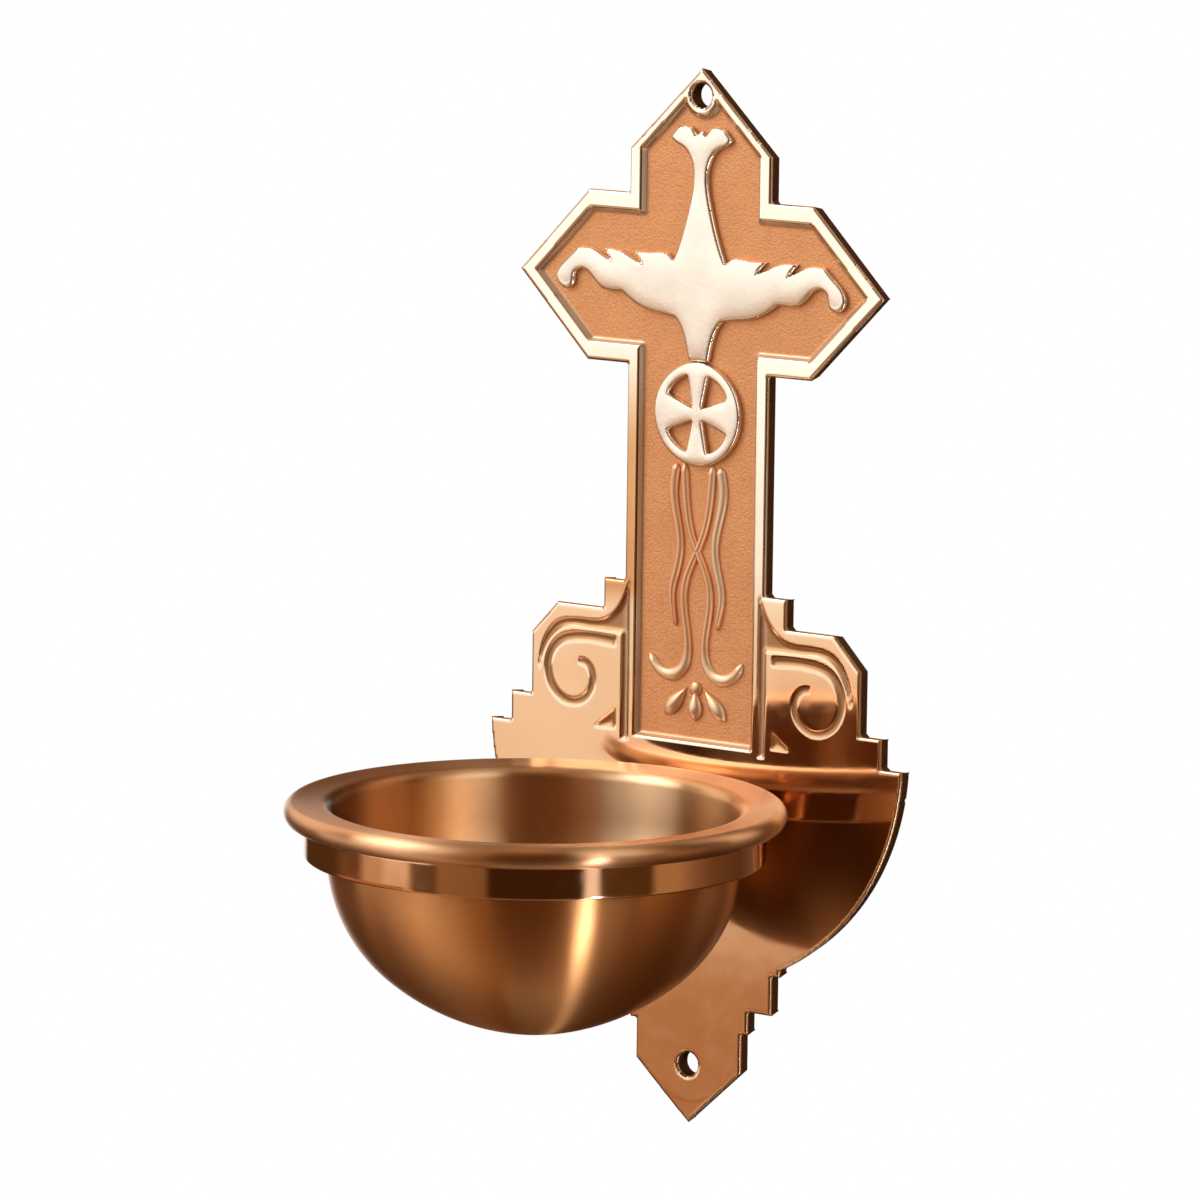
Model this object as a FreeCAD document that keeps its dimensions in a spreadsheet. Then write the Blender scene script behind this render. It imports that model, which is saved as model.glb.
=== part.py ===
import FreeCAD, Part

import math
import os
import re
from collections import namedtuple

import Sketcher

# Wall-hung holy water stoup: a cast bronze wall plate in the shape of a stepped cross, relief pieces
# riveted into its sunk field, a polished ring carried on a bracket, and a spun bowl that drops into
# the ring and lifts out.
#
# Frame, in millimetres: the origin lies on the wall, midway between the two wall holes. +Z is up and
# the object faces -Y. X = 0 is its plane of symmetry.

V = FreeCAD.Vector
OUT = V(0, -1, 0)
UP = V(0, 0, 1)
FACING_OUT = FreeCAD.Rotation(UP, OUT)
FACING_WALL = FreeCAD.Rotation(UP, -OUT)
Arc = namedtuple("Arc", "radius bulge")

doc = FreeCAD.newDocument("HolyWaterStoup")
sheet = doc.addObject("Spreadsheet::Sheet", "Sizes")

# Every driving dimension: its name, its size in millimetres and what it measures. A drop is a
# distance below the origin and a rise one above it.
SIZES = (
    ("plate_thickness", 5.8, "wall plate, back to polished face"),
    ("edge_chamfer", 0.5, "broken front edge of the plate"),
    ("hole_radius", 4.0, "wall holes"),
    ("hole_rise", 161.0, "each wall hole, above or below the origin"),
    ("tip_rise", 170.0, "top point of the cross"),
    ("shaft_half", 28.4, "half width of the cross's shaft and head"),
    ("roof_rise", 142.5, "foot of the roof-shaped head"),
    ("arm_rise", 99.5, "centre line of the arms"),
    ("arm_half", 28.3, "half height of an arm"),
    ("arm_corner", 45.0, "where an arm starts to taper"),
    ("arm_reach", 73.0, "point of an arm"),
    ("block_half", 37.0, "small block beside the shaft"),
    ("block_drop", 1.0, "top of that block"),
    ("shoulder_half", 56.0, "end of a shoulder's level top"),
    ("shoulder_drop", 11.0, "level top of a shoulder"),
    ("ear_half", 66.6, "upright side of a shoulder"),
    ("ear_drop", 22.0, "foot of a shoulder's slope"),
    ("step_half", 75.0, "first step"),
    ("step_drop", 43.0, "top of the first step"),
    ("ledge_half", 83.3, "second step"),
    ("ledge_drop", 53.0, "top of the second step"),
    ("round_radius", 83.5, "half round body of the plate"),
    ("round_drop", 49.5, "centre of the half round"),
    ("round_end", 36.5, "half width where the half round ends"),
    ("tail_drop_one", 127.0, "first step of the tail"),
    ("tail_half_two", 33.3, "half width under the first step"),
    ("tail_drop_two", 140.3, "second step of the tail"),
    ("tail_half_three", 24.0, "half width under the second step"),
    ("tail_drop_three", 148.0, "third step of the tail"),
    ("tail_half", 21.4, "half width of the tail"),
    ("tail_drop", 161.5, "foot of the tail's straight sides"),
    ("point_drop", 181.0, "lower point of the plate"),
    ("field_depth", 2.0, "sunk field of the cross"),
    ("field_tip", 165.0, "top of the sunk field"),
    ("field_half", 23.5, "half width of the sunk field"),
    ("field_roof", 142.3, "foot of the field's roof"),
    ("field_arm", 22.1, "half height of the field in an arm"),
    ("field_corner", 44.0, "where the field starts to taper"),
    ("field_reach", 66.0, "point of the field in an arm"),
    ("field_drop", 52.5, "lower edge of the field"),
    ("eye_radius", 6.6, "boss round the top wall hole"),
    ("cove_depth", 1.2, "sunk coves of the shoulders"),
    ("cove_start", 26.0, "cove beside the shaft, nearest the centre line"),
    ("cove_end", 29.4, "cove beside the shaft, furthest from it"),
    ("cove_rise", 1.5, "top of the cove beside the shaft"),
    ("panel_drop", 18.6, "top of a scroll panel"),
    ("panel_foot", 55.0, "foot of the cove beside the shaft"),
    ("scroll_depth", 1.4, "scroll grooves of the shoulders"),
    ("scroll_width", 3.4, "scroll groove at its start"),
    ("scroll_end", 1.4, "scroll groove at its eye"),
    ("scroll_land", 1.8, "land between the cove and a scroll groove"),
    ("scroll_across", 48.6, "eye of a scroll, from the centre line"),
    ("scroll_drop", 33.4, "eye of a scroll"),
    ("scroll_radius", 12.8, "first turn of a scroll groove"),
    ("scroll_pitch", 5.9, "how much a whole turn of a scroll tightens"),
    ("facet_drop", 44.0, "top of the sunk triangle under a scroll"),
    ("facet_foot", 51.6, "foot of that triangle"),
    ("facet_reach", 40.5, "outer corner of that triangle"),
    ("relief_height", 2.4, "relief pieces, from the floor of the field"),
    ("wheel_rise", 56.5, "centre of the ring cross"),
    ("wheel_radius", 17.2, "ring cross, outside"),
    ("wheel_inner", 13.2, "ring cross, inside of its rim"),
    ("wheel_post", 1.9, "half width of the ring cross's upright, at its middle"),
    ("wheel_beam", 2.1, "half height of the ring cross's crosspiece, at its middle"),
    ("rivet_radius", 1.0, "rivets behind the relief pieces"),
    ("rivet_bite", 1.2, "how far a rivet reaches into its relief piece"),
    ("bowl_reach", 91.5, "bowl's axis, from the wall"),
    ("bowl_seat", 67.2, "top of the ring, where the lip rests"),
    ("bowl_radius", 66.9, "bowl's wall inside the ring"),
    ("bowl_wall", 1.6, "thickness of the bowl's wall"),
    ("bowl_bottom", 133.6, "foot of the bowl"),
    ("bowl_foot", 14.0, "radius of the flat foot"),
    ("bowl_equator", 76.4, "where the bowl starts to round in"),
    ("hip_radius", 48.3, "radius at the bowl's hip"),
    ("hip_drop", 116.6, "the bowl's hip"),
    ("base_curve", 79.2, "curve of the bowl's underside"),
    ("lip_radius", 80.7, "rolled lip, outside"),
    ("lip_crest", 60.0, "top of the lip"),
    ("lip_mouth", 71.0, "inner edge of the lip"),
    ("lip_roll", 3.8, "round of the lip's outer edge"),
    ("lip_flare", 9.0, "curve from the bowl's wall out to its mouth"),
    ("ring_bore", 67.3, "ring's bore"),
    ("ring_radius", 74.2, "ring, outside"),
    ("ring_height", 10.6, "ring, top to bottom"),
    ("ring_break", 0.5, "broken edges of the ring"),
    ("flange_half", 21.0, "half width of the bracket's flange"),
    ("flange_thickness", 3.0, "bracket's flange"),
    ("neck_half", 12.0, "half width of the bracket where it leaves its flange"),
    ("saddle_half", 15.0, "half width of the bracket where it meets the ring"),
    ("bracket_height", 9.0, "bracket, top to bottom"),
    ("bracket_gap", 0.8, "bracket's ends, inside the ring's"),
    ("screw_radius", 2.0, "machine screws, shank"),
    ("head_radius", 3.9, "machine screws, head"),
    ("screw_spread", 8.0, "bracket screws, each side of the centre line"),
    ("screw_length", 11.0, "machine screws, with the head"),
    ("slot_width", 0.9, "driver slot"),
    ("head_sink", 0.5, "ring screw's head, below the ring's bore"),
)
ALIASES = {alias for alias, _, _ in SIZES}


def fill_sheet():
    """Write the driving dimensions into the spreadsheet and give each one its alias."""
    for row, (alias, length, meaning) in enumerate(SIZES, start=1):
        sheet.set(f"A{row}", alias)
        sheet.set(f"B{row}", str(length))
        sheet.set(f"C{row}", meaning)
        sheet.setAlias(f"B{row}", alias)
    doc.recompute()


def bound(expression):
    """The expression with each alias addressed through the spreadsheet."""
    return re.sub(
        r"[a-z_]+",
        lambda word: "Sizes." + word.group() if word.group() in ALIASES else word.group(),
        expression,
    )


def size(expression):
    """The value of an expression in the spreadsheet's aliases."""
    return float(sheet.evalExpression(bound(expression)))


# ---------------------------------------------------------------- sketches and bodies


def new_body(name):
    """A PartDesign body."""
    return doc.addObject("PartDesign::Body", name)


def new_sketch(body, name, role="XZ_Plane", offset=None):
    """A sketch on one of the body's origin planes, moved along its normal by an expression."""
    plane = next(plane for plane in body.Origin.OriginFeatures if plane.Role == role)
    sketch = body.newObject("Sketcher::SketchObject", name)
    sketch.AttachmentSupport = [(plane, "")]
    sketch.MapMode = "FlatFace"
    if offset:
        sketch.setExpression("AttachmentOffset.Base.z", bound(offset))
    doc.recompute()
    return sketch


def pin(sketch, side, spot, across, up):
    """Hold one point of the sketch at the two expressions."""
    for kind, expression, axis in (("DistanceX", across, -2), ("DistanceY", up, -1)):
        if expression == "0":
            sketch.addConstraint(Sketcher.Constraint("PointOnObject", side, spot, axis))
            continue
        held = Sketcher.Constraint(kind, -1, 1, side, spot, size(expression))
        number = sketch.addConstraint(held)
        sketch.setExpression(f"Constraints[{number}]", bound(expression))


def hold_radius(sketch, side, radius):
    """Give a circle or an arc of the sketch the radius of the expression."""
    number = sketch.addConstraint(Sketcher.Constraint("Radius", side, size(radius)))
    sketch.setExpression(f"Constraints[{number}]", bound(radius))


def add_side(sketch, start, end, arc):
    """A straight side or an arc; the answer names the side, its start point and its end point."""
    if arc is None:
        return sketch.addGeometry(Part.LineSegment(start, end)), 1, 2
    radius = size(arc.radius)
    half = (end - start) * 0.5
    left = V(-half.y, half.x, 0).normalize()
    centre = start + half - left * arc.bulge * math.sqrt(radius**2 - half.Length**2)
    turn_start = math.atan2(start.y - centre.y, start.x - centre.x)
    turn_end = math.atan2(end.y - centre.y, end.x - centre.x)
    circle = Part.Circle(centre, UP, radius)
    if arc.bulge > 0:
        side = sketch.addGeometry(Part.ArcOfCircle(circle, turn_end, turn_start))
        ends = (2, 1)
    else:
        side = sketch.addGeometry(Part.ArcOfCircle(circle, turn_start, turn_end))
        ends = (1, 2)
    hold_radius(sketch, side, arc.radius)
    return side, *ends


def outline(sketch, items):
    """Draw a closed outline through corners, which are (across, up) pairs of expressions.

    An Arc between two corners makes that side an arc of its radius, which bulges to the left (+1) or
    to the right (-1) of the way round. Any other side is straight.
    """
    corners = [item for item in items if not isinstance(item, Arc)]
    arcs = []
    for item in items:
        if isinstance(item, Arc):
            arcs[-1] = item
        else:
            arcs.append(None)
    spots = [V(size(across), size(up), 0) for across, up in corners]
    sides = [
        add_side(sketch, start, end, arc)
        for start, end, arc in zip(spots, spots[1:] + spots[:1], arcs)
    ]
    for corner, here, after in zip(corners, sides, sides[1:] + sides[:1]):
        sketch.addConstraint(Sketcher.Constraint("Coincident", here[0], here[2], after[0], after[1]))
        pin(sketch, here[0], here[1], *corner)


def circle(sketch, across, up, radius):
    """Draw a circle at two expressions."""
    centre = V(size(across), size(up), 0)
    ring = sketch.addGeometry(Part.Circle(centre, UP, size(radius)))
    hold_radius(sketch, ring, radius)
    pin(sketch, ring, 3, across, up)


def both_sides(right):
    """The right half of an outline, from top to bottom, and its mirror image back up."""
    left = []
    for item in reversed(right):
        if isinstance(item, Arc):
            left.append(item)
        elif item[0] != "0":
            left.append((f"-({item[0]})", item[1]))
    return right + left


def feature(body, kind, name, sketch, length=None, **settings):
    """Add a sketch-based feature to the body; its length is bound to the spreadsheet."""
    step = body.newObject(f"PartDesign::{kind}", name)
    step.Profile = sketch
    if length:
        step.setExpression("Length", bound(length))
    for key, setting in settings.items():
        setattr(step, key, setting)
    doc.recompute()
    return step


def shaped(name, shape):
    """A Part::Feature that holds a finished shape."""
    piece = doc.addObject("Part::Feature", name)
    piece.Shape = shape
    return piece


def cut(name, base, tool):
    """The base less the tool, as a Part::Cut."""
    piece = doc.addObject("Part::Cut", name)
    piece.Base = base
    piece.Tool = tool
    doc.recompute()
    return piece


def together(name, pieces):
    """Several separate solids in one compound."""
    group = doc.addObject("Part::Compound", name)
    group.Links = pieces
    doc.recompute()
    return group


# ---------------------------------------------------------------- flat curves of the relief work


def flat(across, up):
    """A point of the relief work, in the plane of the wall."""
    return V(across, 0, up)


def curve(points):
    """A smooth curve through the points."""
    spline = Part.BSplineCurve()
    spline.interpolate([flat(*point) for point in points])
    return spline


def leaf(*stretches):
    """A face bounded by smooth curves that meet at cusps; a stretch of two points is a line."""
    edges = []
    for points in stretches:
        line = len(points) == 2
        side = Part.LineSegment(flat(*points[0]), flat(*points[1])) if line else curve(points)
        edges.append(side.toShape())
    return Part.Face(Part.Wire(edges))


def flipped(points):
    """The points' mirror images across the centre line, in the other order."""
    return [(-across, up) for across, up in reversed(points)]


def strand(points, start_width, end_width, samples=14):
    """A band along a smooth curve through the points, whose width changes evenly along it."""
    spine = curve(points)
    first, last = spine.FirstParameter, spine.LastParameter
    near, far = [], []
    for number in range(samples + 1):
        share = number / samples
        where = first + (last - first) * share
        spot = spine.value(where)
        along = spine.tangent(where)[0]
        half = 0.5 * (start_width + (end_width - start_width) * share)
        near.append((spot.x - along.z * half, spot.z + along.x * half))
        far.append((spot.x + along.z * half, spot.z - along.x * half))
    return leaf(near, [near[-1], far[-1]], far[::-1], [far[0], near[0]])


def raised(face, floor, height):
    """A face drawn on the wall, moved out to the floor and given a height towards the front."""
    moved = face.copy()
    moved.translate(OUT * floor)
    return moved.extrude(OUT * height)


# ---------------------------------------------------------------- wall plate

CROSS = [
    ("0", "tip_rise"),
    ("shaft_half", "roof_rise"),
    ("shaft_half", "arm_rise + arm_half"),
    ("arm_corner", "arm_rise + arm_half"),
    ("arm_reach", "arm_rise"),
    ("arm_corner", "arm_rise - arm_half"),
    ("shaft_half", "arm_rise - arm_half"),
    ("shaft_half", "-block_drop"),
    ("block_half", "-block_drop"),
    ("block_half", "-shoulder_drop"),
    ("shoulder_half", "-shoulder_drop"),
    ("ear_half", "-ear_drop"),
    ("ear_half", "-step_drop"),
    ("step_half", "-step_drop"),
    ("step_half", "-ledge_drop"),
    ("ledge_half", "-ledge_drop"),
    ("ledge_half", "-round_drop - sqrt(round_radius^2 - ledge_half^2)"),
    Arc("round_radius", 1),
    ("round_end", "-round_drop - sqrt(round_radius^2 - round_end^2)"),
    ("round_end", "-tail_drop_one"),
    ("tail_half_two", "-tail_drop_one"),
    ("tail_half_two", "-tail_drop_two"),
    ("tail_half_three", "-tail_drop_two"),
    ("tail_half_three", "-tail_drop_three"),
    ("tail_half", "-tail_drop_three"),
    ("tail_half", "-tail_drop"),
    ("0", "-point_drop"),
]
FIELD = [
    ("0", "field_tip"),
    ("field_half", "field_roof"),
    ("field_half", "arm_rise + field_arm"),
    ("field_corner", "arm_rise + field_arm"),
    ("field_reach", "arm_rise"),
    ("field_corner", "arm_rise - field_arm"),
    ("field_half", "arm_rise - field_arm"),
    ("field_half", "-field_drop"),
]


def outer_front_edges(body):
    """The names of the edges round the front face of the body, without those of its hollows."""
    front = -size("plate_thickness")
    faces = [
        face
        for face in body.Shape.Faces
        if abs(face.CenterOfMass.y - front) < 1e-6 and abs(face.normalAt(0, 0).y) > 0.999
    ]
    rim = max(faces, key=lambda face: face.Area).OuterWire
    return [
        f"Edge{number}"
        for number, edge in enumerate(body.Shape.Edges, start=1)
        if any(edge.isSame(side) for side in rim.Edges)
    ]


def plate_casting():
    """The plate's outline with its edge broken, the sunk field, the eye boss and the wall holes."""
    body = new_body("PlateCasting")
    cross = new_sketch(body, "CrossOutline")
    outline(cross, both_sides(CROSS))
    pad = feature(body, "Pad", "CrossPad", cross, "plate_thickness")
    chamfer = body.newObject("PartDesign::Chamfer", "BrokenEdge")
    chamfer.Base = (pad, outer_front_edges(body))
    chamfer.setExpression("Size", bound("edge_chamfer"))
    doc.recompute()
    field = new_sketch(body, "FieldOutline", offset="plate_thickness")
    outline(field, both_sides(FIELD))
    feature(body, "Pocket", "SunkField", field, "field_depth")
    boss = new_sketch(body, "EyeBoss", offset="plate_thickness - field_depth")
    circle(boss, "0", "hole_rise", "eye_radius")
    feature(body, "Pad", "EyePad", boss, "field_depth")
    for name, rise in (("UpperHole", "hole_rise"), ("LowerHole", "-hole_rise")):
        hole = new_sketch(body, name, offset="plate_thickness")
        circle(hole, "0", rise, "hole_radius")
        feature(body, "Pocket", name + "Bore", hole, Type="ThroughAll")
    return body


# Edges of the right shoulder's cove: its upper edge out from the shaft, its outer edge down the slope,
# and its inner edge back up round the scroll panel.
COVE_TOP = [(29.0, -7.0), (36.0, -14.4), (45.5, -15.6)]
COVE_SLOPE = [(45.5, -15.6), (56.0, -17.4), (61.6, -24.2), (63.6, -38.5)]
COVE_INSIDE = [(63.6, -38.5), (60.4, -26.4), (53.5, -18.6), (44.0, -18.6)]
SCROLL_TURNS = 1.36
SCROLL_POINTS = 12


def cove_face():
    """The sunk band of the right shoulder, between its polished border and its scroll panel."""
    start, end = size("cove_start"), size("cove_end")
    top, foot = -size("panel_drop"), -size("panel_foot")
    corner = (start, size("cove_rise"))
    return leaf(
        [corner, *COVE_TOP],
        COVE_SLOPE,
        COVE_INSIDE,
        [COVE_INSIDE[-1], (end, top)],
        [(end, top), (end, foot)],
        [(end, foot), (start, foot)],
        [(start, foot), corner],
    )


def scroll_groove():
    """The spiral groove of the right shoulder, from beside the shaft round to the eye."""
    across, drop = size("scroll_across"), size("scroll_drop")
    radius, pitch = size("scroll_radius"), size("scroll_pitch")
    spine = [(size("cove_end + scroll_land"), radius - drop)]
    for number in range(SCROLL_POINTS + 1):
        turned = SCROLL_TURNS * number / SCROLL_POINTS
        angle = math.pi / 2 - 2 * math.pi * turned
        reach = radius - pitch * turned
        spine.append((across + reach * math.cos(angle), reach * math.sin(angle) - drop))
    return strand(spine, size("scroll_width"), size("scroll_end"), samples=26)


def corner_facet():
    """The small sunk triangle at the foot of the right scroll, beside the shaft."""
    top = (size("cove_end + scroll_land"), -size("facet_drop"))
    corner = (top[0], -size("facet_foot"))
    point = (size("facet_reach"), corner[1])
    return leaf([top, point], [point, corner], [corner, top])


def shoulder_carving():
    """The solids that the carving takes out of both shoulders."""
    thickness = size("plate_thickness")
    hollows = []
    for face, depth in (
        (cove_face(), size("cove_depth")),
        (scroll_groove(), size("scroll_depth")),
        (corner_facet(), size("scroll_depth")),
    ):
        hollow = raised(face, thickness - depth, depth + 1.0)
        hollows += [hollow, hollow.mirror(V(0, 0, 0), V(1, 0, 0))]
    return shaped("ShoulderCarving", Part.makeCompound(hollows))


# ---------------------------------------------------------------- relief pieces

# Right half of the descending dove, tail up, as stretches between its cusps.
DOVE = (
    [(0.0, 149.6), (1.9, 148.0)],
    [(1.9, 148.0), (3.6, 150.3), (7.2, 150.9), (9.6, 150.2)],
    [(9.6, 150.2), (12.3, 147.0)],
    [(12.3, 147.0), (10.2, 145.2), (6.6, 144.0), (3.9, 141.0), (2.4, 136.6), (2.3, 132.0),
     (3.4, 126.0), (5.6, 118.6), (7.8, 112.4), (10.4, 106.6)],
    [(10.4, 106.6), (12.2, 108.3), (18.5, 108.6), (26.6, 108.5)],
    [(26.6, 108.5), (24.6, 106.4), (22.8, 104.4)],
    [(22.8, 104.4), (27.0, 106.2), (32.0, 108.2), (38.8, 108.5)],
    [(38.8, 108.5), (37.2, 106.6), (35.2, 104.4)],
    [(35.2, 104.4), (39.6, 106.6), (43.4, 108.2), (49.6, 108.2)],
    [(49.6, 108.2), (53.6, 104.4), (57.4, 100.4), (58.0, 97.2), (55.8, 94.4), (53.0, 94.2),
     (51.0, 96.4), (50.6, 99.4), (48.0, 101.0), (44.6, 99.6), (41.6, 96.6), (39.4, 95.0)],
    [(39.4, 95.0), (35.6, 94.6), (31.4, 94.8)],
    [(31.4, 94.8), (27.4, 92.0), (22.0, 89.6), (14.6, 88.4), (9.4, 87.6)],
    [(9.4, 87.6), (6.8, 84.2), (4.9, 79.6), (3.3, 74.6)],
)


def dove_face():
    """The dove's outline: the right half, the line across its beak, and the mirror image."""
    foot = DOVE[-1][-1]
    left = [flipped(stretch) for stretch in reversed(DOVE)]
    return leaf(*DOVE, [foot, (-foot[0], foot[1])], *left)


# Where the arms of the ring cross meet its rim, in degrees up from its crosspiece.
POST_ANGLE = 72.0
BEAM_ANGLE = 27.0


def wheel_face():
    """The ring cross: a round rim and a cross with flared arms, which leave four openings."""
    rise = size("wheel_rise")
    outside, inside = size("wheel_radius"), size("wheel_inner")
    centre = flat(0, rise)
    disc = Part.Face(Part.Wire(Part.Circle(centre, OUT, outside).toShape()))
    near = flat(size("wheel_post"), rise + size("wheel_beam"))
    tall, crown, wide = (
        flat(inside * math.cos(math.radians(angle)), rise + inside * math.sin(math.radians(angle)))
        for angle in (POST_ANGLE, (POST_ANGLE + BEAM_ANGLE) / 2, BEAM_ANGLE)
    )
    edges = [
        Part.LineSegment(near, tall).toShape(),
        Part.Arc(tall, crown, wide).toShape(),
        Part.LineSegment(wide, near).toShape(),
    ]
    opening = Part.Face(Part.Wire(edges))
    openings = [opening, opening.mirror(centre, V(0, 0, 1))]
    openings += [shape.mirror(centre, V(1, 0, 0)) for shape in openings]
    return disc.cut(Part.makeCompound(openings))


# Spines of the right-hand strands of ribbon, from the ring cross down.
CROSSING_STRAND = [
    (7.6, 40.2), (7.4, 33.0), (5.6, 24.0), (2.6, 15.6), (-1.2, 8.4), (-4.6, 0.6), (-5.2, -7.0),
    (-4.0, -15.0), (-3.4, -22.0), (-5.4, -28.4), (-10.4, -31.0), (-15.6, -28.9), (-18.8, -24.4),
]
OUTER_STRAND = [
    (9.9, 39.0), (10.2, 31.0), (8.6, 22.0), (7.0, 13.0), (8.8, 4.0), (10.2, -3.0), (9.0, -10.4),
    (7.4, -17.0), (6.4, -23.6),
]


def ribbon_solid(floor, height):
    """Four wavy strands: one pair that crosses and curls out at its feet, and one outside it."""
    strands = []
    for spine, start, end in ((CROSSING_STRAND, 2.4, 2.6), (OUTER_STRAND, 2.6, 1.6)):
        band = raised(strand(spine, start, end, samples=22), floor, height)
        strands += [band, band.mirror(V(0, 0, 0), V(1, 0, 0))]
    return strands[0].multiFuse(strands[1:]).removeSplitter()


# The petals of the palmette, as tip, foot and greatest half width, and the collar that joins them.
PETALS = (
    ((0.0, -33.6), (0.0, -44.6), 2.7),
    ((2.4, -34.4), (10.8, -42.6), 2.2),
    ((-2.4, -34.4), (-10.8, -42.6), 2.2),
)
COLLAR_RISE = -35.2
COLLAR_RADIUS = 3.1

# A petal's edge: how far down the petal, and its width there, as shares of the whole.
PETAL_EDGE = ((0.0, 0.0), (0.3, 0.34), (0.7, 1.0), (0.92, 0.72), (1.0, 0.0))


def drop_face(tip, foot, half):
    """A teardrop petal from its tip to its round foot, its greatest half width near the foot."""
    along = (foot[0] - tip[0], foot[1] - tip[1])
    length = math.hypot(*along)
    across = (-along[1] / length, along[0] / length)

    def spot(share, side):
        """A point a share of the way down the petal, moved sideways."""
        return tuple(tip[i] + along[i] * share + across[i] * side for i in (0, 1))

    right = [spot(share, half * width) for share, width in PETAL_EDGE]
    left = [spot(share, -half * width) for share, width in reversed(PETAL_EDGE)]
    return leaf(right, left)


def palmette_solid(floor, height):
    """Three hanging petals joined by a small collar."""
    petals = [drop_face(*petal) for petal in PETALS]
    collar = Part.Face(Part.Wire(Part.Circle(flat(0, COLLAR_RISE), OUT, COLLAR_RADIUS).toShape()))
    solids = [raised(face, floor, height) for face in (*petals, collar)]
    return solids[0].multiFuse(solids[1:]).removeSplitter()


# Where the rivets of each relief piece stand.
RIVETS = {
    "dove_relief": ((0.0, 118.0), (0.0, 84.0), (34.0, 100.0), (-34.0, 100.0)),
    "ring_cross_relief": ((15.2, 56.5), (-15.2, 56.5)),
    "ribbon_relief": ((0.0, 10.8), (10.4, -31.0), (-10.4, -31.0)),
    "palmette_relief": ((0.0, -40.4),),
}


def rivet(name, across, up):
    """A rivet from the plate's back through the field into a relief piece."""
    piece = doc.addObject("Part::Cylinder", name)
    piece.setExpression("Radius", bound("rivet_radius"))
    piece.setExpression("Height", bound("plate_thickness - field_depth + rivet_bite"))
    piece.Placement = FreeCAD.Placement(flat(across, up), FACING_OUT)
    return piece


def relief_pieces():
    """The relief pieces, each with the holes for its rivets, and the rivets themselves."""
    floor = size("plate_thickness - field_depth")
    height = size("relief_height")
    blanks = {
        "dove_relief": raised(dove_face(), floor, height),
        "ring_cross_relief": raised(wheel_face(), floor, height),
        "ribbon_relief": ribbon_solid(floor, height),
        "palmette_relief": palmette_solid(floor, height),
    }
    rivets, pieces = [], []
    for label, blank in blanks.items():
        own = [rivet(f"Rivet{len(rivets) + n}", *spot) for n, spot in enumerate(RIVETS[label])]
        rivets += own
        group = together(label.title().replace("_", "") + "Rivets", own)
        pieces.append((label, cut(label.title().replace("_", ""), shaped(label + "_blank", blank), group)))
    return pieces, together("ReliefRivets", rivets)


# ---------------------------------------------------------------- ring, bracket and screws


def support_ring():
    """The polished ring, turned from a section with broken corners."""
    body = new_body("SupportRing")
    section = new_sketch(body, "RingSection")
    top, foot = "-bowl_seat", "-bowl_seat - ring_height"
    outline(
        section,
        [
            ("ring_bore", top),
            ("ring_radius - ring_break", top),
            ("ring_radius", f"{top} - ring_break"),
            ("ring_radius", f"{foot} + ring_break"),
            ("ring_radius - ring_break", foot),
            ("ring_bore", foot),
        ],
    )
    feature(body, "Revolution", "RingTurned", section, ReferenceAxis=(section, ["V_Axis"]), Angle=360.0)
    body.setExpression("Placement.Base.y", bound("-bowl_reach"))
    doc.recompute()
    return body


def ring_bracket():
    """The bracket: a flange on the plate and a waisted neck that is saddled to the ring."""
    body = new_body("RingBracket")
    section = new_sketch(body, "BracketSection", role="XY_Plane")
    face = "-plate_thickness"
    saddle = "-bowl_reach + sqrt(ring_radius^2 - saddle_half^2)"
    outline(
        section,
        [
            ("-flange_half", face),
            ("flange_half", face),
            ("flange_half", f"{face} - flange_thickness"),
            ("neck_half", f"{face} - flange_thickness"),
            ("saddle_half", saddle),
            Arc("ring_radius", -1),
            ("-saddle_half", saddle),
            ("-neck_half", f"{face} - flange_thickness"),
            ("-flange_half", f"{face} - flange_thickness"),
        ],
    )
    feature(body, "Pad", "BracketPad", section, "bracket_height")
    body.setExpression("Placement.Base.z", bound("-bowl_seat - bracket_gap - bracket_height"))
    doc.recompute()
    return body


def screw(name, spot, rotation):
    """A countersunk machine screw with a driver slot; its head's face is at the spot."""
    head, shank, slot = (
        doc.addObject(kind, name + part)
        for kind, part in (("Part::Cone", "Head"), ("Part::Cylinder", "Shank"), ("Part::Box", "Slot"))
    )
    head.setExpression("Radius1", bound("head_radius"))
    head.setExpression("Radius2", bound("screw_radius"))
    head.setExpression("Height", bound("head_radius - screw_radius"))
    shank.setExpression("Radius", bound("screw_radius"))
    shank.setExpression("Height", bound("screw_length"))
    slot.setExpression("Length", bound("2 * head_radius + 2 * slot_width"))
    slot.setExpression("Width", bound("slot_width"))
    slot.setExpression("Height", bound("slot_width"))
    slot.setExpression("Placement.Base.x", bound("-head_radius - slot_width"))
    slot.setExpression("Placement.Base.y", bound("-slot_width / 2"))
    whole = doc.addObject("Part::Fuse", name + "Blank")
    whole.Base = head
    whole.Tool = shank
    doc.recompute()
    piece = cut(name, whole, slot)
    piece.Placement = FreeCAD.Placement(spot, rotation)
    doc.recompute()
    return piece


def machine_screws():
    """The two screws from the plate's back into the bracket, and the one from the ring's bore."""
    level = -size("bowl_seat + bracket_gap + bracket_height / 2")
    spread = size("screw_spread")
    bracket_pair = [
        screw(name, V(across, 0, level), FACING_OUT)
        for name, across in (("LeftBracketScrew", -spread), ("RightBracketScrew", spread))
    ]
    face = -size("bowl_reach - ring_bore - head_sink")
    ring_screw = screw("RingScrew", V(0, face, level), FACING_WALL)
    return together("BracketScrews", bracket_pair), ring_screw


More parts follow.
